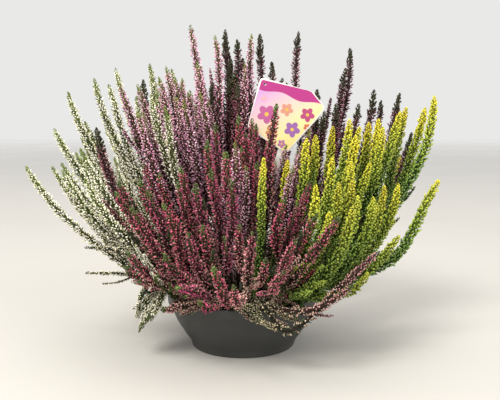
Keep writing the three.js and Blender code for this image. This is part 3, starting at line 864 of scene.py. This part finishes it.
def shoot_course(leader, tip):
    """A side shoot's line, which ends in the leader's own direction at the same height: the middle
    point lies back from the tip in that direction, by SHOOT_STRAIGHT of the line's chord."""
    foot, top = leader([0, 1])
    tip = np.array(tip, float)
    height = min(1, np.linalg.norm(tip - foot) / np.linalg.norm(top - foot))
    start = leader([FORK * height])[0]
    before, after = leader([height - SMALL_STEP, height])
    middle = tip - unit(after - before) * SHOOT_STRAIGHT * np.linalg.norm(tip - start)
    return lambda t: bezier(start, middle, tip, t)


# %% Lines with even steps
SPIKE_STEP, TWIG_STEP = 4.0, 5.0  # mm between the points of a line


def traced(points, step=TWIG_STEP):
    """A line with points at even steps, its unit direction at each, and two unit vectors across."""
    lengths = np.r_[0, np.cumsum(np.linalg.norm(np.diff(points, axis=0), axis=1))]
    count = max(4, int(lengths[-1] / step) + 1)
    along = np.linspace(0, lengths[-1], count)
    points = np.stack([np.interp(along, lengths, points[:, i]) for i in range(3)], 1)
    forward = unit(np.gradient(points, axis=0))
    across = unit(np.cross(points[-1] - points[0], (0, 0, 1)))
    side = unit(across - forward * (forward @ across)[:, None])
    return SimpleNamespace(points=points, along=along, length=along[-1], forward=forward, side=side,
                           front=np.cross(side, forward))


def read_line(line, along):
    """The point, direction and two crossing vectors of a line at lengths from its foot."""
    fields = (line.points, line.forward, line.side, line.front)
    return [np.stack([np.interp(along, line.along, field[:, i]) for i in range(3)], 1)
            for field in fields]


# %% The spikes
WOBBLE, WOBBLE_LENGTH, WOBBLE_FOOT = 1.5, 23, 90  # mm, the last where the wobble is full
FRONT_WAVE = 0.8  # to the front and back it waves slower than from side to side
PHASES = (0, 6)  # radians that a wave may start at
FRESHER = 115  # a fresh spike has the colours of another this much nearer to its tip
EVEN = np.linspace(0, 1, 121)


def wobbled(line):
    """The line bent gently from side to side: a sin(s / b + c) across it, growing from its foot."""
    swing = WOBBLE * np.clip(line.along / WOBBLE_FOOT, 0, 1)[:, None]
    wave = line.along[:, None] / WOBBLE_LENGTH
    sideways = line.side * np.sin(wave + rng.uniform(*PHASES))
    shift = sideways + line.front * np.sin(wave * FRONT_WAVE + rng.uniform(*PHASES))
    return traced(line.points + swing * shift, SPIKE_STEP)


spikes = []  # one entry for each spike, with its plant's name
for name, sprays in SPRAYS.items():
    for spray in sprays:
        leader = leader_course(spray, PLANTS[name])
        courses = [leader, *(shoot_course(leader, tip) for tip in [*spray.tips[1:], *spray.more])]
        for index, course in enumerate(courses):
            faded = spray.faded - (FRESHER if index in spray.fresh else 0)
            line = wobbled(traced(course(EVEN), SPIKE_STEP))
            spikes.append(SimpleNamespace(plant=name, line=line, leader=index == 0, faded=faded,
                                          size=spray.size))


def total_length(growths):
    """The length of some growths together, in metres."""
    return round(sum(growth.line.length for growth in growths) * MM, 1)


print(len(spikes), "spikes,", total_length(spikes), "m in all")

# %% [markdown]
# ## Short side twigs
# Between the long spikes, every heather is filled up by twigs as long as a finger joint. They are
# too many to set by hand. So each spike gets some at random places in its lower part, each leaving
# at an angle and bending up again, and those that would run through the bowl or the ground go.

# %% Lines of short growth
BOX_MARGIN = np.array([[4], [-2]])  # mm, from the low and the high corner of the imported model
GROUND_CLEAR, RIM_CLEAR = 12, 76  # heights that a twig stays over, the second near the wall
WALL_INSIDE, WALL_OUTSIDE = 88, 108  # the radii between which it is near the wall


def twig_of(plant, line, size, faded, flowers=True, full=1):
    """A short growth: its plant's name, how thick and how old it looks, whether it bears buds or
    leaves alone, and how densely."""
    return SimpleNamespace(plant=plant, line=line, size=size, faded=faded, flowers=flowers, full=full)


def bent(feet, middles, ends, skip=6):
    """Bézier lines, one for each row, with fewer points the more are skipped."""
    return [traced(bezier(*row, EVEN[::skip])) for row in zip(feet, middles, ends)]


def leaning(foot, forward, out, length, first, last, skip=6):
    """Bézier lines that change their lean from first to last. A point at a length L and a lean is
    foot + L (forward cos + out sin). The middle point is at half the length, with the first lean."""
    def reached(length, lean):
        """The point at one length and lean."""
        return foot + length * (forward * np.cos(lean) + out * np.sin(lean))

    return bent(foot, reached(length / 2, first), reached(length, last), skip)


def is_clear(line):
    """True if no point is below the rim near the bowl's wall, or near the ground, or outside the
    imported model's box."""
    x, y, z = line.points.T
    reach = np.hypot(x, y)
    low, high = np.array(cad_box) / MM + BOX_MARGIN
    in_box = ((line.points > low) & (line.points < high)).all(1)
    off_bowl = (reach < WALL_INSIDE) | (z > RIM_CLEAR) | (reach > WALL_OUTSIDE)
    return bool((in_box & (z > GROUND_CLEAR) & off_bowl).all())


# %% Twigs
TWIG_SPAN = (0.08, 0.6)  # part of a spike that bears twigs, from its foot
TWIG_LENGTH = (20, 44)
TWIG_LEAN = (0.55, 0.95)  # radians from the spike's direction
TWIG_SIZE, TWIG_FADED = 0.7, 60


def twig_lines(spike):
    """The twigs of one spike. They leave it at a lean, and end at half of it."""
    count = rng.poisson(PLANTS[spike.plant].twigs * spike.line.length)
    share = rng.uniform(*TWIG_SPAN, count)
    foot, forward, side, front = read_line(spike.line, share * spike.line.length)
    turn = rng.uniform(0, 2 * np.pi, count)[:, None]
    out = side * np.sin(turn) + front * np.cos(turn)
    lean = rng.uniform(*TWIG_LEAN, count)[:, None]
    length = rng.uniform(*TWIG_LENGTH, count)[:, None]
    lines = leaning(foot, forward, out, length, lean, lean / 2, skip=12)
    return [line for line in lines if is_clear(line)]


twigs = [twig_of(spike.plant, line, TWIG_SIZE * spike.size, TWIG_FADED + max(0, spike.faded),
                 rng.random() < PLANTS[spike.plant].twig_flowers)
         for spike in spikes for line in twig_lines(spike)]
print(len(twigs), "twigs,", total_length(twigs), "m in all")

# %% [markdown]
# ## Growth that closes the plants up
# Seen from the side, hardly any light comes through real heathers. Four more kinds of growth do
# that here: shorter shoots that run between two neighbouring sprays, young leafy shoots all over
# the soil, a fringe of thin faded twigs that lie over the rim, and old strands that trail from it.
# The first three follow a rule each and belong to the plant that stands nearest. The strands are
# set one by one, because they are few and lie in front.

# %% Shoots between the sprays
# For each plant, how many, the part of its neighbours' length, and how much older they look.
BETWEEN = {"white": (13, (0.45, 0.85), 20), "pink": (14, (0.6, 0.95), 20),
           "purple": (12, (0.6, 0.92), 10), "red": (22, (0.5, 0.85), 10),
           "yellow": (11, (0.4, 0.75), 90)}
BETWEEN_WEIGHT = (0.3, 0.7)  # where they run, from the first spray to the second
BETWEEN_START, BETWEEN_POINTS = 0.04, 40  # part of the sprays' length, and points on the way
BETWEEN_SHIFT, BETWEEN_STEP, BETWEEN_SIZE = 7, 6.0, 0.8  # mm, mm, and part of a spike's thickness
NEIGHBOURS = 3  # the second spray is one of this many that are nearest

leaders = [spike for spike in spikes if spike.leader and not spike.faded]
feet = np.array([spike.line.points[0] for spike in leaders])
tops = np.array([spike.line.points[-1] for spike in leaders])
between = []
for name, (count, shares, age) in BETWEEN.items():
    own = [spike for spike in leaders if spike.plant == name]
    for index in range(count):
        first = own[index % len(own)]
        apart = np.linalg.norm(tops - first.line.points[-1], axis=1) + \
            2 * np.linalg.norm(feet - first.line.points[0], axis=1)
        second = leaders[np.argsort(apart)[1 + rng.integers(NEIGHBOURS)]]
        share, weight = rng.uniform(*shares), rng.uniform(*BETWEEN_WEIGHT)
        course = np.linspace(BETWEEN_START, share, BETWEEN_POINTS)
        ends = [read_line(spike.line, course * spike.line.length)[0] for spike in (first, second)]
        shift = rng.normal(0, BETWEEN_SHIFT, 3) * course[:, None]
        line = traced((1 - weight) * ends[0] + weight * ends[1] + shift, BETWEEN_STEP)
        between.append(twig_of(name, line, BETWEEN_SIZE, age))
twigs += between
print(len(between), "shoots between the sprays")

# %% Young shoots over the soil
YOUNG_COUNT = 72
YOUNG_SPREAD = 78  # radius of the ground that they stand on
YOUNG_LENGTH = (50, 120)
YOUNG_LEAN, YOUNG_VARIES = 1.0, 0.1  # radians from upright at the edge of that ground
YOUNG_BEND = 1.25  # they lean this much more at first than at their end
YOUNG_DEPTH = 2  # mm in the soil
UP = np.array([0, 0, 1])
GOLDEN_ANGLE = math.pi * (3 - math.sqrt(5))


def nearest_plant(place):
    """The plant whose root is nearest to a place on the soil."""
    return leaders[np.linalg.norm(feet[:, :2] - place[:2], axis=1).argmin()].plant


reach = YOUNG_SPREAD * np.sqrt((np.arange(YOUNG_COUNT) + rng.random(YOUNG_COUNT)) / YOUNG_COUNT)
bearing = np.arange(YOUNG_COUNT) * GOLDEN_ANGLE + rng.normal(0, YOUNG_VARIES, YOUNG_COUNT)
outward = around_axis(bearing, 1)
lean = (YOUNG_LEAN * reach / YOUNG_SPREAD + rng.normal(0, YOUNG_VARIES, YOUNG_COUNT))[:, None]
length = rng.uniform(*YOUNG_LENGTH, YOUNG_COUNT)[:, None]
foot = outward * reach[:, None] + (0, 0, SOIL_LEVEL - YOUNG_DEPTH)
lines = leaning(foot, UP, outward, length, lean * YOUNG_BEND, lean)
young = [twig_of(nearest_plant(line.points[0]), line, TWIG_SIZE, TWIG_FADED, index % 4 == 0)
         for index, line in enumerate(lines) if is_clear(line)]
twigs += young
print(len(young), "young shoots")

# %% Fringe over the rim
FRINGE_COUNT = 60
FRINGE_FOOT = (80, 61)  # distance from the middle, and height
FRINGE_TOP = ((92, 104), (86, 108))  # the bend's distance and height
FRINGE_END = ((108, 130), (66, 98))
FRINGE_DROP = 10  # mm lower where it hangs most
FRINGE_LOWEST = math.radians(-55)  # the bearing of that side
FRINGE_UNEVEN, FRINGE_SLIP = 0.4, 0.5  # the first in steps between two, the second in radians
FRINGE_SIZE, FRINGE_FADED = 0.5, 130

uneven = rng.uniform(-FRINGE_UNEVEN, FRINGE_UNEVEN, FRINGE_COUNT)
bearing = (np.arange(FRINGE_COUNT) + uneven) * 2 * np.pi / FRINGE_COUNT
slip = bearing + rng.normal(0, FRINGE_SLIP, FRINGE_COUNT)  # they lie along the rim too
foot = around_axis(bearing, *FRINGE_FOOT)
middle = around_axis(bearing, *(rng.uniform(*span, FRINGE_COUNT) for span in FRINGE_TOP))
distance, height = (rng.uniform(*span, FRINGE_COUNT) for span in FRINGE_END)
drop = FRINGE_DROP * np.clip(np.cos(slip - FRINGE_LOWEST), 0, 1) ** 2
end = around_axis(slip, distance, height - drop)
twigs += [twig_of(nearest_plant(line.points[0]), line, FRINGE_SIZE, FRINGE_FADED)
          for line in bent(foot, middle, end)]
print(FRINGE_COUNT, "fringe twigs")

# %% Trailing strands
# Red strands lie over the front rim, and white ones trail out at the left. Each has the
# millimetres that it looks older, whether it flowers, and the points that it runs through.
STRANDS = {
    "red": [
        (130, True, [(24, -78, 62), (30, -100, 78), (44, -117, 74), (66, -119, 82)]),
        (190, True, [(-2, -80, 62), (0, -104, 76), (12, -118, 66), (38, -121, 58), (57, -118, 54)]),
        (200, True, [(8, -80, 62), (14, -104, 78), (26, -118, 62), (40, -121, 52)]),
        (180, True, [(16, -80, 62), (22, -102, 80), (36, -117, 66), (52, -120, 60)]),
        (210, True, [(20, -80, 62), (34, -104, 80), (48, -120, 70), (70, -117, 62)]),
        (220, True, [(0, -82, 62), (8, -106, 78), (22, -121, 63), (36, -122, 55)]),
        (70, True, [(-34, -76, 62), (-44, -99, 84), (-66, -108, 76), (-90, -100, 70)]),
        (120, True, [(-24, -78, 62), (-34, -102, 80), (-52, -112, 76), (-74, -108, 68)]),
        (90, True, [(-44, -70, 62), (-58, -90, 88), (-74, -100, 88)]),
        (110, True, [(-40, -72, 62), (-46, -94, 88), (-58, -106, 94)]),
    ],
    "white": [
        (60, True, [(-84, -30, 62), (-106, -44, 100), (-125, -56, 84), (-133, -62, 50)]),
        (30, False, [(-84, -34, 62), (-106, -48, 96), (-124, -58, 78), (-129, -62, 58)]),
        (20, False, [(-80, -40, 62), (-100, -54, 96), (-117, -62, 76), (-124, -66, 60)]),
        (0, False, [(-80, -44, 62), (-96, -58, 92), (-112, -66, 78)]),
        (0, False, [(-84, -36, 62), (-104, -48, 92), (-122, -58, 72)]),
        (0, False, [(-76, -50, 62), (-94, -70, 90), (-106, -84, 70)]),
        (0, False, [(-82, -30, 62), (-100, -44, 100), (-116, -52, 98)]),
        (40, True, [(-78, -44, 62), (-96, -72, 96), (-108, -106, 122), (-114, -124, 136)]),
        (60, True, [(-72, -52, 62), (-90, -84, 92), (-100, -116, 114), (-104, -130, 124)]),
        (50, True, [(-80, -42, 62), (-100, -74, 104), (-114, -104, 132), (-122, -128, 154)]),
        (70, True, [(-78, -48, 62), (-96, -80, 100), (-107, -112, 126), (-111, -132, 146)]),
        (20, False, [(-70, -56, 62), (-86, -88, 88), (-94, -114, 102)]),
        (10, False, [(-74, -52, 62), (-92, -88, 94), (-100, -118, 112), (-94, -132, 122)]),
        (0, False, [(-68, -58, 62), (-82, -94, 92), (-84, -124, 110)]),
    ],
}
STRAND_SIZE, STRAND_FULLNESS = 0.55, 1.6
for name, strands in STRANDS.items():
    for faded, flowers, points in strands:
        line = traced(smooth_line(np.array(points, float), EVEN))
        twigs.append(twig_of(name, line, STRAND_SIZE, faded, flowers, STRAND_FULLNESS))
print(sum(map(len, STRANDS.values())), "strands,", total_length(twigs), "m of short growth in all")

# %% [markdown]
# ## Buds and leaves
# A heather bud is a pointed oval, 3 to 4 mm long, on a short stalk. The leaves are scales of about
# the same length. Both can be one small closed shape, copied along the stem on a spiral, each turned
# by the golden angle from the last, which is how the real ones are set. Hair particles would be
# less work, but an exported model loses them.

# %% Shapes of a bud and a leaf
def spindle(sides, widest):
    """A closed spindle of unit length and width: `sides` corners at the height `widest`, a point at
    each end."""
    ring = np.arange(sides)
    return (np.vstack([around_axis(even_angles(sides), 0.5, widest), (0, 0, 0), (0, 0, 1)]),
            np.vstack([fan(ring, sides, over=True), fan(ring, sides + 1)]))


BUD = spindle(3, 0.6)
TUFT = spindle(4, 0.66)  # a very short leafy shoot
# A leaf is a spike of unit length and width: a flat foot with three corners, and a point.
LEAF = (np.vstack([around_axis(even_angles(3), 0.5), (0, 0, 1)]),
        np.vstack([fan(np.arange(3), 3), (0, 2, 1)]))
print("faces of a bud, a tuft and a leaf:", [len(faces) for _, faces in (BUD, TUFT, LEAF)])


# %% Places along a line
TURN_VARIES = 0.3  # radians
LUMP, LUMP_STEP = 0.13, 1.7
SWELL = 1.15  # a spike grows this much wider than its radius far from its ends
# Lengths from a spike's foot, and its reach in mm at all but the last, for side shoots and leaders.
FOOT_SHAPES = {False: ((0, 10, 40), (1.8, 2.6)), True: ((0, 10, 60), (1.8, 3.2))}
# The same from its tip, with the reach at the last four as parts of its radius.
TIP_LENGTHS, TIP_REACH, TIP_PARTS = (0, 2, 8, 22, 50, 110), (1.0, 2.2), (0.55, 0.82, 1.0, SWELL)


def on_spiral(line, start, end, per_mm):
    """Lengths from the tip, and turns, of places on a spiral round a line. Place n is near
    start + n / per_mm, and turned by about n golden angles."""
    count = max(0, int((min(end, line.length) - start) * per_mm)) if per_mm else 0
    from_tip = start + (np.arange(count) + rng.random(count)) / max(per_mm, 0.1)
    turn = GOLDEN_ANGLE * np.arange(count) + rng.normal(0, TURN_VARIES, count) + rng.uniform(*PHASES)
    return np.minimum(from_tip, line.length), turn


def spike_reach(line, radius, from_tip, leader, blunt=1.0):
    """How far buds stand out from a spike, which widens from its foot and from its tip, and sooner
    the blunter it is. The lesser of the two counts."""
    lengths, reaches = FOOT_SHAPES[leader]
    foot = np.interp(line.length - from_tip, lengths, [*reaches, SWELL * radius])
    tip = np.interp(from_tip * blunt, TIP_LENGTHS, [*TIP_REACH, *(radius * np.array(TIP_PARTS))])
    return np.minimum(foot, tip)


def lumpy(from_tip, turn):
    """Two low ridges that wind round the spike: 1 + a sin(s / b + 2 turn + c)."""
    return 1 + LUMP * np.sin(from_tip / LUMP_STEP + 2 * turn + rng.uniform(*PHASES))


# %% Growth along a line
DEEPEST_CORE = 0.7  # the most of its reach that a growth's foot may stand out


def grown(shape, line, from_tip, turn, reach, opening, width, tone, age, core):
    """Copies of a shape along a line. Each starts at the stem's surface, `core` from its middle,
    and points up and out, in the direction out sin(opening) + forward cos(opening), until it is
    `reach` from the middle, so its length is (reach - core) / sin(opening)."""
    shape_points, shape_faces = shape
    count, corners = len(from_tip), len(shape_points)
    place, forward, side, front = read_line(line, line.length - from_tip)
    out = side * np.sin(turn)[:, None] + front * np.cos(turn)[:, None]
    slope = opening[:, None]
    direction = unit(out * np.sin(slope) + forward * np.cos(slope))
    across = unit(np.cross(direction, out))
    core = np.minimum(core, DEEPEST_CORE * reach)
    length = ((reach - core) / np.sin(opening))[:, None]
    foot = place + out * core[:, None] - forward * length * np.cos(slope)
    third = np.cross(direction, across)
    x, y, z = shape_points.T[:, None, :, None]
    points = foot[:, None] + width * (x * across[:, None] + y * third[:, None]) \
        + z * (length * direction)[:, None]
    values = {
        "from_tip": np.repeat((from_tip + age) / COLOUR_SPAN, corners),
        "chance": np.repeat(rng.random(count), corners),
        "along": np.tile(shape_points[:, 2], count),
        "tone": np.full(count * corners, tone),
    }
    return points.reshape(-1, 3), copied(shape_faces, corners, count), values


# %% Dressing the spikes
TIP_OPENING = (0.5, 0.95)  # radians between the tufts and the stem
FLOWERING = 0.84  # part of a spike that bears buds, from its tip
OLD_BUDS, STAYING = (120, 240), 0.45  # mm from the tip over which buds drop, and the part left
HIGH_TIP = 260  # a spike whose tip is lower looks `low` mm older for each 100 mm
MOST_LEAFY = 0.45  # part of a spike
BUDS_START = 0.8  # part of the leafy length at which buds begin
# How far each kind reaches at least, and all of them at most, as parts of the spike's own reach.
BUD_REACH, TUFT_REACH, LEAF_REACH, MOST_REACH = 0.66, 0.5, 0.55, 1.1


def dressed(spike):
    """The buds and leaves of one spike. Tufts alone cover its tip, and below it buds stand among
    darker leaves."""
    plant, line = PLANTS[spike.plant], spike.line
    tone = rng.random()
    lower = max(0, HIGH_TIP - line.points[-1, 2]) / 100
    age = spike.faded + rng.uniform(0, plant.ages) + plant.low * lower
    leafy = min(rng.uniform(*plant.leafy), MOST_LEAFY * line.length)
    opening = np.radians(plant.open)

    def cover(shape, start, end, per_mm, width, thin, slope):
        """One kind of growth from start to end, which reaches from `thin` to MOST_REACH of the
        spike's own reach. Some of the oldest buds have dropped."""
        from_tip, turn = on_spiral(line, start, end, per_mm)
        if shape is BUD:
            stays = rng.random(len(turn)) < np.interp(from_tip + age, OLD_BUDS, (1, STAYING))
            from_tip, turn = from_tip[stays], turn[stays]
        reach = lumpy(from_tip, turn) * spike_reach(line, plant.radius * spike.size, from_tip,
                                                    spike.leader, plant.blunt)
        return grown(shape, line, from_tip, turn, reach * rng.uniform(thin, MOST_REACH, len(turn)),
                     rng.uniform(*slope, len(turn)), width, tone, age, plant.core * reach)

    bud = BUD if leafy else TUFT
    flowering = FLOWERING if leafy and spike.faded <= 0 else 1
    return {
        "buds": [cover(bud, leafy * BUDS_START, flowering * line.length, plant.buds_per_mm,
                       plant.bud_width, BUD_REACH, opening)],
        "leaves": [cover(TUFT, 0, leafy, plant.tufts, plant.leaf_width, TUFT_REACH, TIP_OPENING),
                   cover(LEAF, leafy, line.length, plant.leaves_per_mm, plant.leaf_width,
                         LEAF_REACH, opening)],
    }


# %% Dressing the shorter growth
TWIG_AGE = (0, 80)  # twigs have the colours of a spike this much further below its tip
TWIG_BUDS, TWIG_LEAVES, BARE_LEAVES = 1.4, 0.9, 1.8  # on each millimetre
TWIG_CORE, TWIG_REACH = 0.25, 1.4  # part of its radius, and the least reach in mm
BUD_SHRINKS, LEAF_WIDENS = 0.3, 1.05


def dressed_twig(twig):
    """The buds and leaves of one twig, `twig.size` times as thick as a spike. Where
    `twig.flowers` is False it bears leaves alone."""
    plant, line = PLANTS[twig.plant], twig.line
    tone, age = rng.random(), rng.uniform(*TWIG_AGE) + twig.faded
    bud_width = plant.bud_width * min(1, BUD_SHRINKS + twig.size)
    leaves_per_mm = TWIG_LEAVES if twig.flowers else BARE_LEAVES
    made = {}
    for kind, shape, per_mm, width in (
        ("buds", BUD, TWIG_BUDS * twig.flowers, bud_width),
        ("leaves", LEAF, leaves_per_mm, plant.leaf_width * LEAF_WIDENS),
    ):
        from_tip, turn = on_spiral(line, 0, line.length, per_mm * twig.full)
        reach = np.maximum(spike_reach(line, plant.radius * twig.size, from_tip, False), TWIG_REACH)
        uneven = rng.uniform(BUD_REACH, MOST_REACH, len(turn))
        opening = rng.uniform(*np.radians(plant.open), len(turn))
        made[kind] = [grown(shape, line, from_tip, turn, reach * uneven, opening, width, tone, age,
                            TWIG_CORE * reach)]
    return made


# %% [markdown]
# ## Stems
# The stems are thin, brown and woody at the foot and greener towards the tip. Each is a tube with
# few sides: a ring of corners carried along its line, wide enough to back the buds.

# %% Stems
STEM_SIDES = 3
STEM_DEPTH = 12  # how deep a leader goes on in the soil, in mm
BARE_STEM, STEM_COVER, STEM_TIP = 1.4, 0.2, 0.3  # mm


def stem(line, radius, core, is_leader=False, blunt=1.0, age=0.0):
    """A tube round a line, as wide as the buds' feet stand apart and bare at its foot. Its rings
    are point + width (side sin a + front cos a)."""
    points, side, front = line.points[::2], line.side[::2], line.front[::2]
    along = line.along[::2]
    reach = spike_reach(line, radius, line.length - along, is_leader, blunt)
    width = np.maximum(core * reach + STEM_COVER, STEM_TIP)
    width[-1] = STEM_TIP
    if is_leader:
        points = np.vstack([points[0] - (0, 0, STEM_RISE + STEM_DEPTH), points])
        side, front = np.vstack([side[:1], side]), np.vstack([front[:1], front])
        width, along = np.r_[BARE_STEM, width], np.r_[0, along]
    angle = even_angles(STEM_SIDES)
    circle = side[:, None] * np.sin(angle)[:, None] + front[:, None] * np.cos(angle)[:, None]
    tube, faces = closed_tube(points[:, None] + width[:, None, None] * circle)
    from_tip = np.r_[np.repeat(line.length - along, STEM_SIDES), line.length, 0] + age
    return tube, faces, {"from_tip": from_tip / COLOUR_SPAN}


# %% [markdown]
# ## Colours of the heathers
# A spike flowers from below, so colour runs along it: the ramp gives a colour for each length from
# the tip. The shared group then darkens each growth towards its foot, paints a highlight on its
# point, and makes each one a little different.

# %% Finishes of buds, leaves and stems
def along_spike(tree, stops):
    """One colour, or one that changes with the length from the tip."""
    if isinstance(stops, str):
        return linear(stops)
    return ramp(tree, kept(tree, "from_tip"),
                {place / COLOUR_SPAN: code for place, code in stops.items()})


def growth_finish(name, stops, odd, foot, point, vary, roughness, gloss):
    """The finish of a plant's buds or leaves. Rather more than one in four has the odd colour."""
    material, tree, shader = finish_of(name, Roughness=roughness, Specular_IOR_Level=gloss)
    is_odd = spread(tree, kept(tree, "chance"), 0.3, 0.24)
    own = {key: kept(tree, key.lower()) for key in ("Along", "Chance", "Tone")}
    # Point gives the colour of the painted highlight at each growth's point, and of the paler growths.
    coloured = use(tree, growth_colour, Foot=along_spike(tree, foot), Point=along_spike(tree, point),
                   Body=mix(tree, is_odd, along_spike(tree, stops), along_spike(tree, odd)),
                   Vary=vary, **own)
    plug(shader, Base_Color=coloured["Colour"])
    return material


def bark_finish(name, stops):
    """The finish of a plant's stems: green above, and brown and cracked below."""
    material, tree, shader = finish_of(name, Roughness=0.8, Specular_IOR_Level=0.2)
    cracks = use(tree, grain, Scale=500.0, Depth=0.5)
    dark = spread(tree, cracks["Value"], 0.4, 0.7, 0, 0.5)
    plug(shader, Base_Color=mix(tree, dark, along_spike(tree, stops), linear("#221811")),
         Normal=cracks["Normal"])
    return material


# %% Make the heathers
TWIG_BARK = 60  # a twig's bark looks older by as many mm as this

for name, plant in PLANTS.items():
    own_spikes = [spike for spike in spikes if spike.plant == name]
    own_twigs = [twig for twig in twigs if twig.plant == name]
    nodes = [f"{name}_spray_{i + 1}" for i in range(len(SPRAYS[name]))]
    dresses = [dressed(spike) for spike in own_spikes] + [dressed_twig(twig) for twig in own_twigs]
    # Leaves take their youngest colour as the painted highlight at their points, and their oldest at
    # their feet.
    youngest, *_, oldest = plant.leaves.values()
    finishes = {
        "buds": growth_finish(f"{name} buds", plant.buds, plant.odd, plant.bud_foot,
                              plant.bud_point, plant.vary, 0.6, 0.3),
        "leaves": growth_finish(f"{name} leaves", plant.leaves, plant.leaves, oldest, youngest,
                                plant.vary, 0.5, 0.35),
    }
    for kind, finish in finishes.items():
        parts = [part for dress in dresses for part in dress[kind] if len(part[0])]
        piece(f"{name}_{kind}", merge(parts), finish, nodes)
    stems = [stem(spike.line, plant.radius * spike.size, plant.core, spike.leader, plant.blunt,
                  spike.faded) for spike in own_spikes]
    stems += [stem(twig.line, plant.radius * twig.size, TWIG_CORE, age=twig.faded + TWIG_BARK)
              for twig in own_twigs]
    piece(f"{name}_stems", merge(stems), bark_finish(f"{name} bark", plant.stalk), nodes)

# %% [markdown]
# ## Sizes
# The boxes of the imported model and of the visual model, printed side by side. The
# visual model has to stay in the imported model's box, apart from a few millimetres.

# %% Sizes
visual_box = [list(corner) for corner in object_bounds()]
for name, box in (("packed", cad_box), ("visual", visual_box)):
    print(name, [[round(value, 4) for value in corner] for corner in box])
